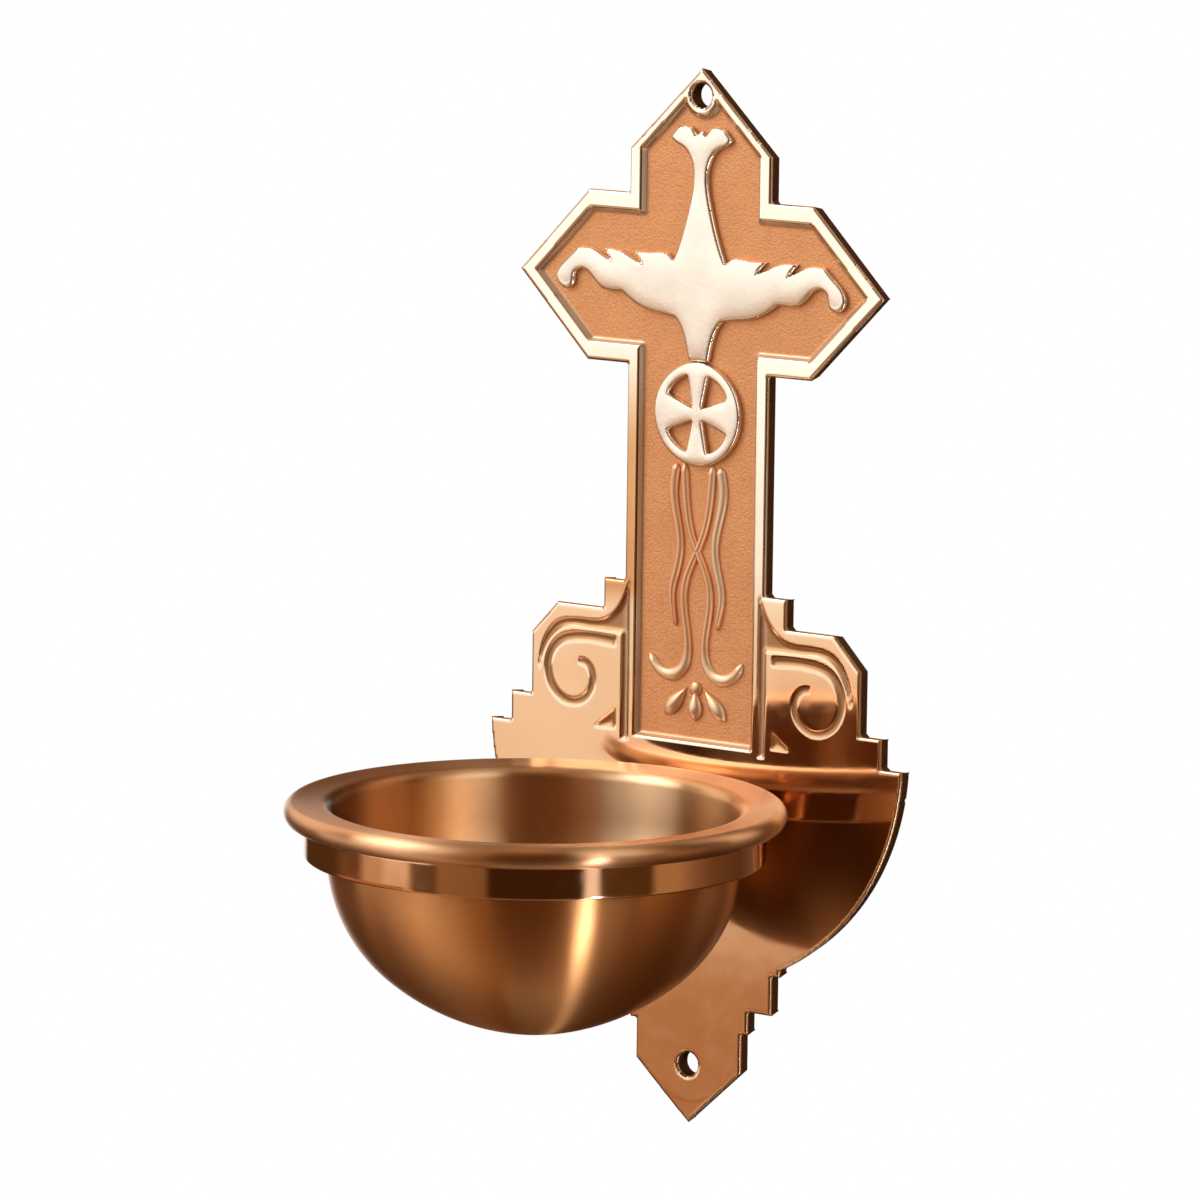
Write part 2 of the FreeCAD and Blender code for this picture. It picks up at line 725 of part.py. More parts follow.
def screw_space(name, screws):
    """The space that screws take up and the clear way to their heads."""
    depth = 2 * size("head_sink")
    way = Part.makeCylinder(size("head_radius"), depth, UP * -depth, UP)
    solids = []
    for piece in screws:
        space = piece.Base.Shape.fuse(way)
        space.Placement = piece.Placement
        solids.append(space)
    return shaped(name, Part.makeCompound(solids))


# ---------------------------------------------------------------- bowl


def bowl():
    """The spun bowl: a flat foot, a rounded body, a flared mouth and a rolled lip."""
    body = new_body("Bowl")
    section = new_sketch(body, "BowlSection")
    seat = "-bowl_seat"
    inset = "(bowl_radius - hip_radius)"
    side_curve = f"(({inset}^2 + (hip_drop - bowl_equator)^2) / {inset} / 2)"
    inner_hip = (
        f"hip_radius - bowl_wall * ({side_curve} - {inset}) / {side_curve}",
        f"-hip_drop + bowl_wall * (hip_drop - bowl_equator) / {side_curve}",
    )
    edge = "lip_radius - lip_roll + sqrt(lip_roll^2 - (bowl_seat - lip_crest)^2 / 4)"
    outline(
        section,
        [
            ("0", "-bowl_bottom"),
            ("bowl_foot", "-bowl_bottom"),
            Arc("base_curve", -1),
            ("hip_radius", "-hip_drop"),
            Arc(side_curve, -1),
            ("bowl_radius", "-bowl_equator"),
            ("bowl_radius", seat),
            (edge, seat),
            Arc("lip_roll", -1),
            (edge, "-lip_crest"),
            ("lip_mouth", "-lip_crest - bowl_wall / 2"),
            Arc("lip_flare", -1),
            ("bowl_radius - bowl_wall", f"{seat} - bowl_wall"),
            ("bowl_radius - bowl_wall", "-bowl_equator"),
            Arc(f"{side_curve} - bowl_wall", 1),
            inner_hip,
            Arc("base_curve - bowl_wall", 1),
            ("bowl_foot", "-bowl_bottom + bowl_wall"),
            ("0", "-bowl_bottom + bowl_wall"),
        ],
    )
    feature(body, "Revolution", "BowlSpun", section, ReferenceAxis=(section, ["V_Axis"]), Angle=360.0)
    body.setExpression("Placement.Base.y", bound("-bowl_reach"))
    doc.recompute()
    return body


# ---------------------------------------------------------------- assembly and hand-over


def build():
    """Make every piece and answer with the label of each node and the object that holds it."""
    fill_sheet()
    casting = cut("CarvedPlate", plate_casting(), shoulder_carving())
    reliefs, rivets = relief_pieces()
    bracket_screws, ring_screw = machine_screws()
    bracket_space = screw_space("BracketScrewSpace", bracket_screws.Links)
    ring_space = screw_space("RingScrewSpace", [ring_screw])
    drilled = cut("RivetedPlate", casting, rivets)
    bracket = cut("DrilledBracket", ring_bracket(), bracket_space)
    nodes = [
        ("wall_plate", cut("WallPlate", drilled, bracket_space)),
        *reliefs,
        ("relief_rivets", rivets),
        ("ring_bracket", cut("BoredBracket", bracket, ring_space)),
        ("bracket_screws", bracket_screws),
        ("support_ring", cut("BoredRing", support_ring(), ring_space)),
        ("ring_screw", ring_screw),
        ("bowl", bowl()),
    ]
    for label, piece in nodes:
        piece.Label = label
    doc.recompute()
    return nodes


def check(nodes):
    """Stop if any object of the document failed, or if a node's shape is empty or unsound."""
    for piece in doc.Objects:
        if {"Invalid", "Error"} & set(piece.State):
            raise RuntimeError(f"{piece.Name} failed: {piece.State}")
    for label, piece in nodes:
        if piece.Shape.isNull() or not piece.Shape.isValid() or piece.Shape.Volume <= 0:
            raise RuntimeError(f"{label} has no sound shape")


def main():
    """Build the stoup and write each node's STEP file."""
    nodes = build()
    check(nodes)
    os.makedirs("parts", exist_ok=True)
    for label, piece in nodes:
        piece.Shape.exportStep(f"parts/{label}.step")
        box = piece.Shape.BoundBox
        print(
            f"{label}: {len(piece.Shape.Solids)} solids, {piece.Shape.Volume / 1000:.2f} cm3, "
            f"x {box.XMin:.1f}..{box.XMax:.1f} y {box.YMin:.1f}..{box.YMax:.1f} "
            f"z {box.ZMin:.1f}..{box.ZMax:.1f}"
        )


main()
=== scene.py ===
"""Looks of a wall-hung holy water stoup.

The cast wall plate, its relief work, the polished ring and the spun bowl are modelled here. The
bracket, the screws and the rivets keep their construction meshes and get their finish here.
"""

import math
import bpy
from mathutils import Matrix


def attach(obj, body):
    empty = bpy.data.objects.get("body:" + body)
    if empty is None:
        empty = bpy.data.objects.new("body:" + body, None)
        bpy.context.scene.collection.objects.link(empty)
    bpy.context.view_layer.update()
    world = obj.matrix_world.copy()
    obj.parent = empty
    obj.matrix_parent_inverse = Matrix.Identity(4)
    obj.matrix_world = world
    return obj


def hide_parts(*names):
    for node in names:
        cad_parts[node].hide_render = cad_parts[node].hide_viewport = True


bl_info = {
    "name": "Holy Water Stoup",
    "version": (1, 0, 0),
    "blender": (4, 5, 0),
    "location": "3D View > Sidebar > Stoup",
    "description": "Models and finishes a wall-hung holy water stoup round its construction model",
    "category": "Add Mesh",
}

import bmesh
import bpy
import numpy as np
from bpy.props import FloatProperty, FloatVectorProperty, PointerProperty
from mathutils import Matrix, Vector

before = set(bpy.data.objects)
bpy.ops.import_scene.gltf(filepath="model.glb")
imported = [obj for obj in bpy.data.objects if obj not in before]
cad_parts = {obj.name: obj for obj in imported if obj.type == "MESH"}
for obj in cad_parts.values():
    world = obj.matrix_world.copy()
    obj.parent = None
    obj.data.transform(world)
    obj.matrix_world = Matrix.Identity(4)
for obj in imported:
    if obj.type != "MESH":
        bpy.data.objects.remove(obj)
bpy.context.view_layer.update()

MM = 0.001
FRONT = -5.8 * MM  # the plate's polished face
FLOOR = -3.8 * MM  # the floor of its sunk field
BOWL_AXIS = -91.5 * MM  # the upright axis of the bowl and the ring

SPIN_STEPS = 192  # steps round the bowl and the ring
ROUND_POINTS = 14  # points across a relief band
SHARP_CORNER = math.radians(62)


# ------------------------------------------------------------------ settings


def length(name, default_mm, description):
    """A size, entered in millimetres here and kept in metres."""
    return FloatProperty(
        name=name, description=description, default=default_mm * MM, unit="LENGTH", precision=5
    )


def colour(name, default, description):
    """A linear colour."""
    return FloatVectorProperty(
        name=name, description=description, default=default, size=3, subtype="COLOR", min=0, max=1
    )


def angle(name, degrees, description):
    """An angle, entered in degrees here and kept in radians."""
    return FloatProperty(
        name=name, description=description, default=math.radians(degrees), subtype="ANGLE"
    )


class StoupBowlSizes(bpy.types.PropertyGroup):
    """Sizes of the bowl and of the ring that carries it."""

    foot: length("Foot", 133.6, "Depth of the bowl's foot below the origin")
    foot_radius: length("Foot radius", 14.0, "Radius of the flat foot")
    hip_radius: length("Hip radius", 48.3, "Radius where the underside turns up into the side")
    hip: length("Hip", 116.6, "Depth of that turn below the origin")
    equator: length("Equator", 76.4, "Depth where the upright wall starts to round in")
    radius: length("Radius", 66.9, "Outer radius of the upright wall")
    wall: length("Wall", 1.6, "Thickness of the wall")
    seat: length("Seat", 67.2, "Depth of the lip's underside")
    crest: length("Crest", 60.0, "Depth of the lip's top")
    lip_radius: length("Lip radius", 80.7, "Outer radius of the rolled lip")
    mouth_radius: length("Mouth radius", 69.0, "Inner edge of the lip")
    ring_bore: length("Ring bore", 68.0, "Inner radius of the ring, clear of the ring screw's head")
    ring_radius: length("Ring radius", 74.2, "Outer radius of the ring")
    ring_height: length("Ring height", 10.6, "Height of the ring")


class StoupPlateSizes(bpy.types.PropertyGroup):
    """Sizes of the cast wall plate."""

    thickness: length("Thickness", 5.8, "Back of the plate to its polished face")
    pitch: length("Pitch", 0.62, "Spacing of the grid that the plate is worked on")
    draft: length("Draft", 1.0, "How much narrower the back is than the front, on each side")
    edge: length("Edge round", 0.8, "Rounding of the outer edge")
    field_edge: length("Field edge round", 0.5, "Rounding of the border beside the field")
    field_wall: length("Field wall", 1.1, "Width of the slope down to the field")
    cove: length("Cove", 0.85, "Depth of the coves of the shoulders")
    scroll: length("Scroll", 0.62, "Depth of the scroll grooves")
    facet: length("Facet", 1.0, "Depth of the sunk triangles under the scrolls")
    hole_radius: length("Hole radius", 4.0, "Radius of the wall holes")
    hole_rise: length("Hole", 161.0, "Each wall hole above or below the origin")
    eye_radius: length("Eye radius", 6.6, "Radius of the boss round the top hole")


class StoupReliefSizes(bpy.types.PropertyGroup):
    """Sizes of the relief work in the sunk field."""

    height: length("Height", 2.4, "Height of the relief above the field")
    edge: length("Edge", 1.1, "Height of the upright edge round a relief")
    pitch: length("Pitch", 0.4, "Spacing of the grid that the flat reliefs are worked on")
    wheel_rise: length("Ring cross", 56.5, "Height of the ring cross above the origin")
    wheel_radius: length("Ring cross radius", 17.2, "Outer radius of the ring cross")
    wheel_inner: length("Ring cross opening", 13.2, "Radius of the openings of the ring cross")


class StoupColours(bpy.types.PropertyGroup):
    """Colours of the finishes, some of them also used as painted highlight and shade."""

    polished: colour("Polished bronze", (0.93, 0.70, 0.50), "Buffed faces")
    # Painted highlight: the lighter tone of the plate's head and upper right.
    bright: colour("Bright bronze", (0.98, 0.88, 0.74), "Buffed faces that were polished most")
    # Painted shade on the plate's left, tail and lower right shoulder, and also the random clouds
    # of tarnish.
    tarnish_and_painted_shade: colour("Amber bronze", (0.66, 0.34, 0.15), "Buffed faces that have darkened")
    relief: colour("Relief bronze", (0.98, 0.90, 0.79), "Buffed relief work")
    stippled: colour("Stippled bronze", (1.0, 0.52, 0.255), "Matt floor of the field")
    # Darker tone of relief work: painted shade on the ribbons, and the tone of the upper petals.
    darker_relief: colour("Dull relief bronze", (1.0, 0.60, 0.35), "Relief work that is less polished")
    cream: colour("Ribbon bronze", (1.0, 0.74, 0.50), "Buffed strands, curls and petals")
    mirror: colour("Mirror bronze", (0.82, 0.50, 0.30), "Mirror-bright ring")
    satin: colour("Satin bronze", (0.83, 0.405, 0.168), "Brushed bowl")
    lining: colour("Bowl inside", (0.87, 0.56, 0.32), "Brushed inside of the bowl")
    # Used in the plate's hollows and at the reliefs' feet, where it also stands in for shade.
    patina: colour("Patinated bronze", (0.62, 0.32, 0.14), "Hollows that the buff doesn't reach")
    # Also painted shade: on the plate's sides, and on the bowl's back and inner front wall.
    cast: colour("Cast bronze", (0.15, 0.065, 0.026), "Unpolished sides and back")
    screw: colour("Screw brass", (0.80, 0.58, 0.30), "Turned screws")


class StoupStage(bpy.types.PropertyGroup):
    """Camera and floor."""

    azimuth: angle("Azimuth", 36.246, "Camera to the right of straight ahead")
    elevation: angle("Elevation", 8.807, "Camera above the horizon")
    roll: angle("Roll", -0.711, "Camera turned about its own axis")
    distance: length("Distance", 2302.2, "Camera from the point it looks at")
    aim: FloatVectorProperty(
        name="Aim", description="Point the camera looks at",
        default=(-0.02488, -0.02404, -0.00532), size=3, subtype="TRANSLATION",
    )
    lens: FloatProperty(name="Lens", description="Focal length in millimetres", default=210.0)
    floor: length("Floor", 1500.0, "Depth of the floor below the origin")
    floor_radius: length("Floor radius", 300.0, "Radius of the floor")


# ------------------------------------------------------------------ curves and meshes


def spline(points, count):
    """A smooth curve through the points.

    Each coordinate is a cubic spline over the chord length, with no curvature at its two ends,
    sampled at even steps of that length.
    """
    points = np.asarray(points, float)
    steps = np.linalg.norm(np.diff(points, axis=0), axis=1)
    knots = np.concatenate([[0.0], np.cumsum(steps)])
    slopes = np.diff(points, axis=0) / steps[:, None]
    number = len(points)
    matrix = np.eye(number)
    right = np.zeros_like(points)
    inner = np.arange(1, number - 1)
    matrix[inner, inner - 1] = steps[:-1]
    matrix[inner, inner] = 2 * (steps[:-1] + steps[1:])
    matrix[inner, inner + 1] = steps[1:]
    right[inner] = 6 * np.diff(slopes, axis=0)
    bends = np.linalg.solve(matrix, right)
    where = np.linspace(0, knots[-1], count)
    span = np.clip(np.searchsorted(knots, where, "right") - 1, 0, number - 2)
    width = steps[span][:, None]
    share = (where - knots[span])[:, None] / width
    rest = 1 - share
    curved = (rest**3 - rest) * bends[span] + (share**3 - share) * bends[span + 1]
    return rest * points[span] + share * points[span + 1] + curved * width**2 / 6


def arc(centre, radius, start, end, count):
    """Points of an arc: the centre plus the radius along even steps of angle from start to end."""
    angles = np.radians(np.linspace(start, end, count))
    return np.stack([centre[0] + radius * np.cos(angles), centre[1] + radius * np.sin(angles)], 1)


def between(start, end, radius, bulge, count):
    """Points of an arc of a given radius from start to end.

    Its centre lies off the middle of the chord, at the third side of the right triangle of the
    radius and half the chord. It bows to the left where the bulge is 1, and to the right at -1.
    """
    start, end = np.asarray(start, float), np.asarray(end, float)
    half = (end - start) / 2
    left = np.array([-half[1], half[0]]) / np.hypot(*half)
    centre = start + half - left * bulge * math.sqrt(radius**2 - half @ half)
    first = math.degrees(math.atan2(*(start - centre)[::-1]))
    last = math.degrees(math.atan2(*(end - centre)[::-1]))
    turn = (last - first + 180) % 360 - 180
    return arc(centre, radius, first, first + turn, count)


def left_of(along):
    """The unit vector to the left of each direction."""
    return np.stack([-along[:, 1], along[:, 0]], 1) / np.hypot(*along.T)[:, None]


def turn_outwards(mesh):
    """Turn a closed mesh's faces outwards."""
    work = bmesh.new()
    work.from_mesh(mesh)
    bmesh.ops.recalc_face_normals(work, faces=work.faces)
    work.to_mesh(mesh)
    work.free()


def shaped(name, points, *groups):
    """A mesh from its points and groups of faces, each an array with a face's corners to a row."""
    mesh = bpy.data.meshes.new(name)
    faces = [face for group in groups for face in np.asarray(group).tolist()]
    mesh.from_pydata(np.asarray(points).tolist(), [], faces)
    mesh.update()
    return mesh


def finished(mesh, body, material, replaced):
    """Put a mesh into the scene, ride it on its body and hide the construction node it stands for.
    """
    turn_outwards(mesh)
    mesh.polygons.foreach_set("use_smooth", np.ones(len(mesh.polygons), bool))
    mesh.set_sharp_from_angle(angle=SHARP_CORNER)
    mesh.materials.append(material)
    made = bpy.data.objects.new(mesh.name, mesh)
    bpy.context.scene.collection.objects.link(made)
    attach(made, body)
    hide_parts(replaced)


def quads(rows, columns, close_rows=False):
    """Faces of a grid of points whose columns run round in a ring; its rows may close too."""
    row, column = np.meshgrid(
        np.arange(rows if close_rows else rows - 1), np.arange(columns), indexing="ij"
    )
    below, beside = (row + 1) % rows, (column + 1) % columns
    corners = [row * columns + column, row * columns + beside, below * columns + beside,
               below * columns + column]
    return np.stack(corners, -1).reshape(-1, 4)


def turned(section, close=False):
    """A section carried round the bowl's axis.

    Point (i, j) stands at the section's radius i along angle j, at the section's height i. A closed
    section makes a ring. Otherwise the section starts and ends on the axis, with one point there.
    """
    angles = np.linspace(0, 2 * math.pi, SPIN_STEPS, endpoint=False)
    ring = section if close else section[1:-1]
    across, ahead = ring[:, :1] * np.cos(angles), BOWL_AXIS + ring[:, :1] * np.sin(angles)
    points = np.stack([across, ahead, np.repeat(ring[:, 1:], SPIN_STEPS, 1)], -1).reshape(-1, 3)
    groups = [quads(len(ring), SPIN_STEPS, close)]
    if not close:
        first, last = len(points), len(points) + 1
        ends = [[0, BOWL_AXIS, height] for height in section[[0, -1], 1]]
        points = np.vstack([points, ends])
        start = (len(ring) - 1) * SPIN_STEPS
        around = np.arange(SPIN_STEPS)
        after = np.roll(around, -1)
        groups.append(np.stack([after, around, np.full(SPIN_STEPS, first)], 1))
        groups.append(np.stack([start + around, start + after, np.full(SPIN_STEPS, last)], 1))
    return points, *groups


# ------------------------------------------------------------------ reliefs


def joined(stretches):
    """A closed outline of stretches that meet at cusps: curves, or straight lines of two points."""
    parts = []
    for points in stretches:
        parts.append(np.array(points)[:1] if len(points) == 2 else spline(points, 40)[:-1])
    return np.vstack(parts)


def inside_by(spots, runs):
    """How far each spot lies inside the runs of sides, and its nearest point on them.

    The distance is the least one to any side of any run. Its sign comes from how many sides a line
    to the right of the spot crosses, so a run may stay open on the left.
    """
    starts = np.vstack([run[:-1] for run in runs])
    ends = np.vstack([run[1:] for run in runs])
    best = np.full(len(spots), np.inf)
    nearest = np.zeros_like(spots)
    crossed = np.zeros(len(spots), int)
    for start, end in zip(starts, ends):
        along = end - start
        share = np.clip(((spots - start) @ along) / max(along @ along, 1e-18), 0, 1)
        foot = start + share[:, None] * along
        gap = np.hypot(*(spots - foot).T)
        closer = gap < best
        best[closer] = gap[closer]
        nearest[closer] = foot[closer]
        spans = (start[1] > spots[:, 1]) != (end[1] > spots[:, 1])
        if start[1] != end[1]:
            meets = start[0] + (spots[:, 1] - start[1]) / (end[1] - start[1]) * along[0]
            crossed += spans & (spots[:, 0] < meets)
    return np.where(crossed % 2 == 1, best, -best), nearest


def closed(loop):
    """A loop with its first point again at its end."""
    return np.vstack([loop, loop[:1]])


def cells_of(kept, shape):
    """The grid's square cells whose corners are all kept, its half cells with three, and their rim.

    The rim is each side that only one of these faces has, in the direction that the face runs.
    """
    column, row = np.meshgrid(np.arange(shape[0] - 1), np.arange(shape[1] - 1), indexing="ij")
    corner = (column * shape[1] + row).reshape(-1)
    cells = np.stack([corner, corner + shape[1], corner + shape[1] + 1, corner + 1], 1)
    count = kept[cells].sum(1)
    whole = cells[count == 4]
    halves = cells[count == 3]
    halves = halves[kept[halves]].reshape(-1, 3)
    sides = np.vstack(
        [
            np.stack([group, np.roll(group, -1, axis=1)], -1).reshape(-1, 2)
            for group in (whole, halves)
        ]
    )
    keys = sides.min(1) * len(kept) + sides.max(1)
    _, first, times = np.unique(keys, return_index=True, return_counts=True)
    return whole, halves, sides[first[times == 1]]


def blurred(mask, sigma):
    """The mask under a Gaussian blur, worked out on its frequencies."""
    waves = [np.fft.fftfreq(count) for count in mask.shape]
    fade = np.exp(-2 * (math.pi * sigma) ** 2 * (waves[0][:, None] ** 2 + waves[1][None, :] ** 2))
    return np.fft.ifft2(np.fft.fft2(mask) * fade).real


def renumbered(count, *groups):
    """Which points the groups of faces use, and each point's number among those."""
    used = np.unique(np.concatenate([group.reshape(-1) for group in groups]))
    number = np.full(count, -1)
    number[used] = np.arange(len(used))
    return used, number


def embossed(loops, pitch, edge, rounding, dome):
    """A flat relief with an upright edge, rounded shoulders and a gently domed top.

    It is a grid over the outline. Grid points near the outline are moved onto it. The height at a
    point is the edge's height, plus a quarter round of the outline's mask under a narrow blur, plus
    the dome's share of the mask under a wide blur. The rounding and the dome are each given as a
    height and the width of that blur. The back is flat, on the floor of the field.
    """
    outline = np.vstack(loops)
    margin = 12 * MM
    low, high = outline.min(0) - margin, outline.max(0) + margin
    across = np.arange(low[0], high[0], pitch)
    up = np.arange(low[1], high[1], pitch)
    shape = (len(across), len(up))
    spots = np.stack(np.meshgrid(across, up, indexing="ij"), -1).reshape(-1, 2)
    depth, nearest = inside_by(spots, [closed(loop) for loop in loops])
    on_edge = np.abs(depth) < 0.5 * pitch
    spots = np.where(on_edge[:, None], nearest, spots)
    mask = np.clip(0.5 + depth / pitch, 0, 1).reshape(shape)
    near, wide = (
        np.clip(2 * blurred(mask, width / pitch) - 1, 0, 1) for _, width in (rounding, dome)
    )
    height = edge + rounding[0] * np.sqrt(1 - (1 - near) ** 2) + dome[0] * wide
    height = np.where(on_edge, edge, height.reshape(-1))

    whole, halves, rim = cells_of((depth > 0) | on_edge, shape)
    used, number = renumbered(len(spots), whole, halves)
    flat = spots[used]
    top = np.stack([flat[:, 0], FLOOR - height[used], flat[:, 1]], 1)
    back = np.stack([flat[:, 0], np.full(len(used), FLOOR), flat[:, 1]], 1)
    start, end = number[rim].T
    sides = np.stack([end, start, start + len(used), end + len(used)], 1)
    tops = [number[group] for group in (whole, halves)]
    backs = [group[:, ::-1] + len(used) for group in tops]
    return np.vstack([top, back]), *tops, *backs, sides


def banded(spine, widths, heights):
    """A rounded band along a spine in the plane of the plate.

    At each point of the spine the section is half an ellipse: its width lies across the spine and
    its height stands out of the floor. The back is flat, and both ends are closed.
    """
    turn = np.linspace(0, math.pi, ROUND_POINTS)
    reach = widths[:, None] / 2 * np.cos(turn)
    rise = heights[:, None] * np.sin(turn)
    side = left_of(np.gradient(spine, axis=0))
    flat = spine[:, None, :] + side[:, None, :] * reach[:, :, None]
    points = np.stack([flat[..., 0], FLOOR - rise, flat[..., 1]], -1).reshape(-1, 3)
    first = np.arange(ROUND_POINTS // 2 - 1)
    opposite = ROUND_POINTS - 1 - first
    cap = np.stack([first, first + 1, opposite - 1, opposite], 1)
    last = (len(spine) - 1) * ROUND_POINTS
    return points, np.vstack([quads(len(spine), ROUND_POINTS), cap[:, ::-1], cap + last])


def gathered(parts):
    """Several bands as one mesh."""
    starts = np.cumsum([0] + [len(points) for points, _ in parts])
    points = np.vstack([points for points, _ in parts])
    return points, np.vstack([faces + start for (_, faces), start in zip(parts, starts)])


def mirrored(part):
    """A band's mirror image across the plane of symmetry, with its faces turned to match."""
    points, faces = part
    return points * [-1, 1, 1], faces[:, ::-1]


# ------------------------------------------------------------------ shader maths


class Wire:
    """What comes out of a node's socket, with arithmetic that adds the nodes it needs."""

    def __init__(self, recipe, socket):
        self.recipe = recipe
        self.socket = socket

    def out(self, name):
        """Another output of the same node."""
        return Wire(self.recipe, self.socket.node.outputs[name])

    def maths(self, operation, *values):
        """A Math node on these values."""
        return self.recipe.add("ShaderNodeMath", {"operation": operation}, dict(enumerate(values)))

    def __add__(self, other):
        return self.maths("ADD", self, other)

    def __mul__(self, other):
        return self.maths("MULTIPLY", self, other)

    def __sub__(self, other):
        return self.maths("SUBTRACT", self, other)

    def __rsub__(self, other):
        return self.maths("SUBTRACT", other, self)

    def __truediv__(self, other):
        return self.maths("DIVIDE", self, other)

    def __abs__(self):
        return self.maths("ABSOLUTE", self)

    __radd__ = __add__
    __rmul__ = __mul__

    def step(self, low, high, start=0.0, end=1.0):
        """A smooth step from start to end as the value runs from low to high."""
        return self.recipe.add(
            "ShaderNodeMapRange",
            {"interpolation_type": "SMOOTHSTEP"},
            {"Value": self, "From Min": low, "From Max": high, "To Min": start, "To Max": end},
        )

    def fall(self, low, high):
        """A smooth step from 1 to 0 as the value runs from low to high."""
        return self.step(low, high, 1.0, 0.0)

    def band(self, start, full, fade, end):
        """1 from full to fade, 0 outside start and end, and smooth steps between them."""
        return self.step(start, full) * self.fall(fade, end)


class Recipe:
    """The nodes of one material, or of the world."""

    def __init__(self, tree):
        self.tree = tree
        tree.nodes.clear()

    def add(self, kind, settings=None, values=None, output=0):
        """Make a node: its settings first, then the value or the link of each socket."""
        made = self.tree.nodes.new(kind)
        for key, setting in (settings or {}).items():
            if key != "stops":
                setattr(made, key, setting)
                continue
            elements = made.color_ramp.elements
            while len(elements) < len(setting):
                elements.new(1.0)
            for element, (place, shade) in zip(elements, setting):
                element.position = place
                element.color = (*shade, 1.0)
        for key, value in (values or {}).items():
            if isinstance(value, Wire):
                self.tree.links.new(value.socket, made.inputs[key])
            else:
                made.inputs[key].default_value = value
        return Wire(self, made.outputs[output]) if made.outputs else made

    def place(self):
        """Object coordinates, in metres."""
        return self.add("ShaderNodeTexCoord").out("Object")

    def axes(self, vector):
        """A vector's three coordinates."""
        first = self.add("ShaderNodeSeparateXYZ", None, {0: vector})
        return [first.out(name) for name in "XYZ"]

    def millimetres(self, place):
        """A place's three coordinates, in millimetres."""
        return [axis / MM for axis in self.axes(place)]

    def facing(self):
        """The direction that the surface faces."""
        return self.add("ShaderNodeNewGeometry").out("True Normal")

    def mix(self, share, first, second):
        """A share of the way from the first colour to the second."""
        first, second = (
            shade if isinstance(shade, Wire) else (*shade, 1.0) for shade in (first, second)
        )
        values = {0: share, 6: first, 7: second}
        return self.add("ShaderNodeMix", {"data_type": "RGBA"}, values, output=2)

    def noise(self, place, scale, detail=3.0, rough=0.5):
        """Cloudy noise."""
        values = {"Vector": place, "Scale": scale, "Detail": detail, "Roughness": rough}
        return self.add("ShaderNodeTexNoise", None, values)

    def bump(self, height, strength, distance, normal=None):
        """A bumped normal."""
        values = {"Height": height, "Strength": strength, "Distance": distance}
        if normal:
            values["Normal"] = normal
        return self.add("ShaderNodeBump", None, values)


def metal(name, build, **constants):
    """A metal whose build function answers with its base colour, roughness and normal."""
    material = bpy.data.materials.new(name)
    material.use_nodes = True
    recipe = Recipe(material.node_tree)
    shade, roughness, normal = build(recipe)
    values = {"Base Color": shade, "Metallic": 1.0, "Roughness": roughness, "Normal": normal}
    values.update({key.replace("_", " ").title(): value for key, value in constants.items()})
    surface = recipe.add("ShaderNodeBsdfPrincipled", None, values)
    recipe.add("ShaderNodeOutputMaterial", None, {"Surface": surface})
    return material


def tint(shade, factor):
    """A colour made lighter or darker."""
    return tuple(min(1.0, channel * factor) for channel in shade)


def raised(shade, foot, top=-5.2, smooth=0.2, darker_tone=None, bright=None):
    """Relief work: its top is polished, and its foot keeps a darker and rougher skin, patina with
    painted shade where it meets the field.

    That darker foot begins at the depth called top, in millimetres, and is whole one millimetre
    behind it.
    A darker tone takes the place of the top's shade, except in the part that bright picks.
    """

    def build(recipe):
        place = recipe.place()
        across, depth, up = recipe.millimetres(place)
        foot_patina_and_shade = depth.step(top, top + 1.0)
        clouds = recipe.noise(place, 60.0, detail=4.0)
        specks = recipe.noise(place, 900.0, detail=2.0)
        shown = recipe.mix(clouds.step(0.3, 0.75), tint(shade, 1.02), tint(shade, 0.95))
        if darker_tone:
            shown = recipe.mix(bright(across, up), darker_tone, shown)
        # Patina at the foot, with painted shade where the relief meets the field.
        shown = recipe.mix(foot_patina_and_shade * 0.8, shown, foot)
        roughness = smooth + foot_patina_and_shade * 0.25 + clouds.step(0.35, 0.8, 0.0, 0.06)
        return shown, roughness, recipe.bump(specks, 0.08, 0.0002)

    return build


def buffed(shade, smooth):
    """A buffed face: faint clouds of tarnish, smears in its gloss and a trace of waviness."""

    def build(recipe):
        place = recipe.place()
        clouds = recipe.noise(place, 22.0)
        smears = recipe.noise(place, 160.0, detail=4.0)
        waves = recipe.noise(place, 90.0, detail=1.0)
        shown = recipe.mix(clouds.step(0.3, 0.75), tint(shade, 1.03), tint(shade, 0.93))
        roughness = smooth + smears.step(0.35, 0.8, 0.0, 0.05)
        return shown, roughness, recipe.bump(waves, 0.06, 0.0006)

    return build


# ------------------------------------------------------------------ operators


def shades():
    """The colours of the finishes."""
    return bpy.context.scene.stoup_colours


# The plate's half round body, in millimetres: how high its centre lies, and its radius.
BODY_RISE, BODY_RADIUS = -49.5, 83.5

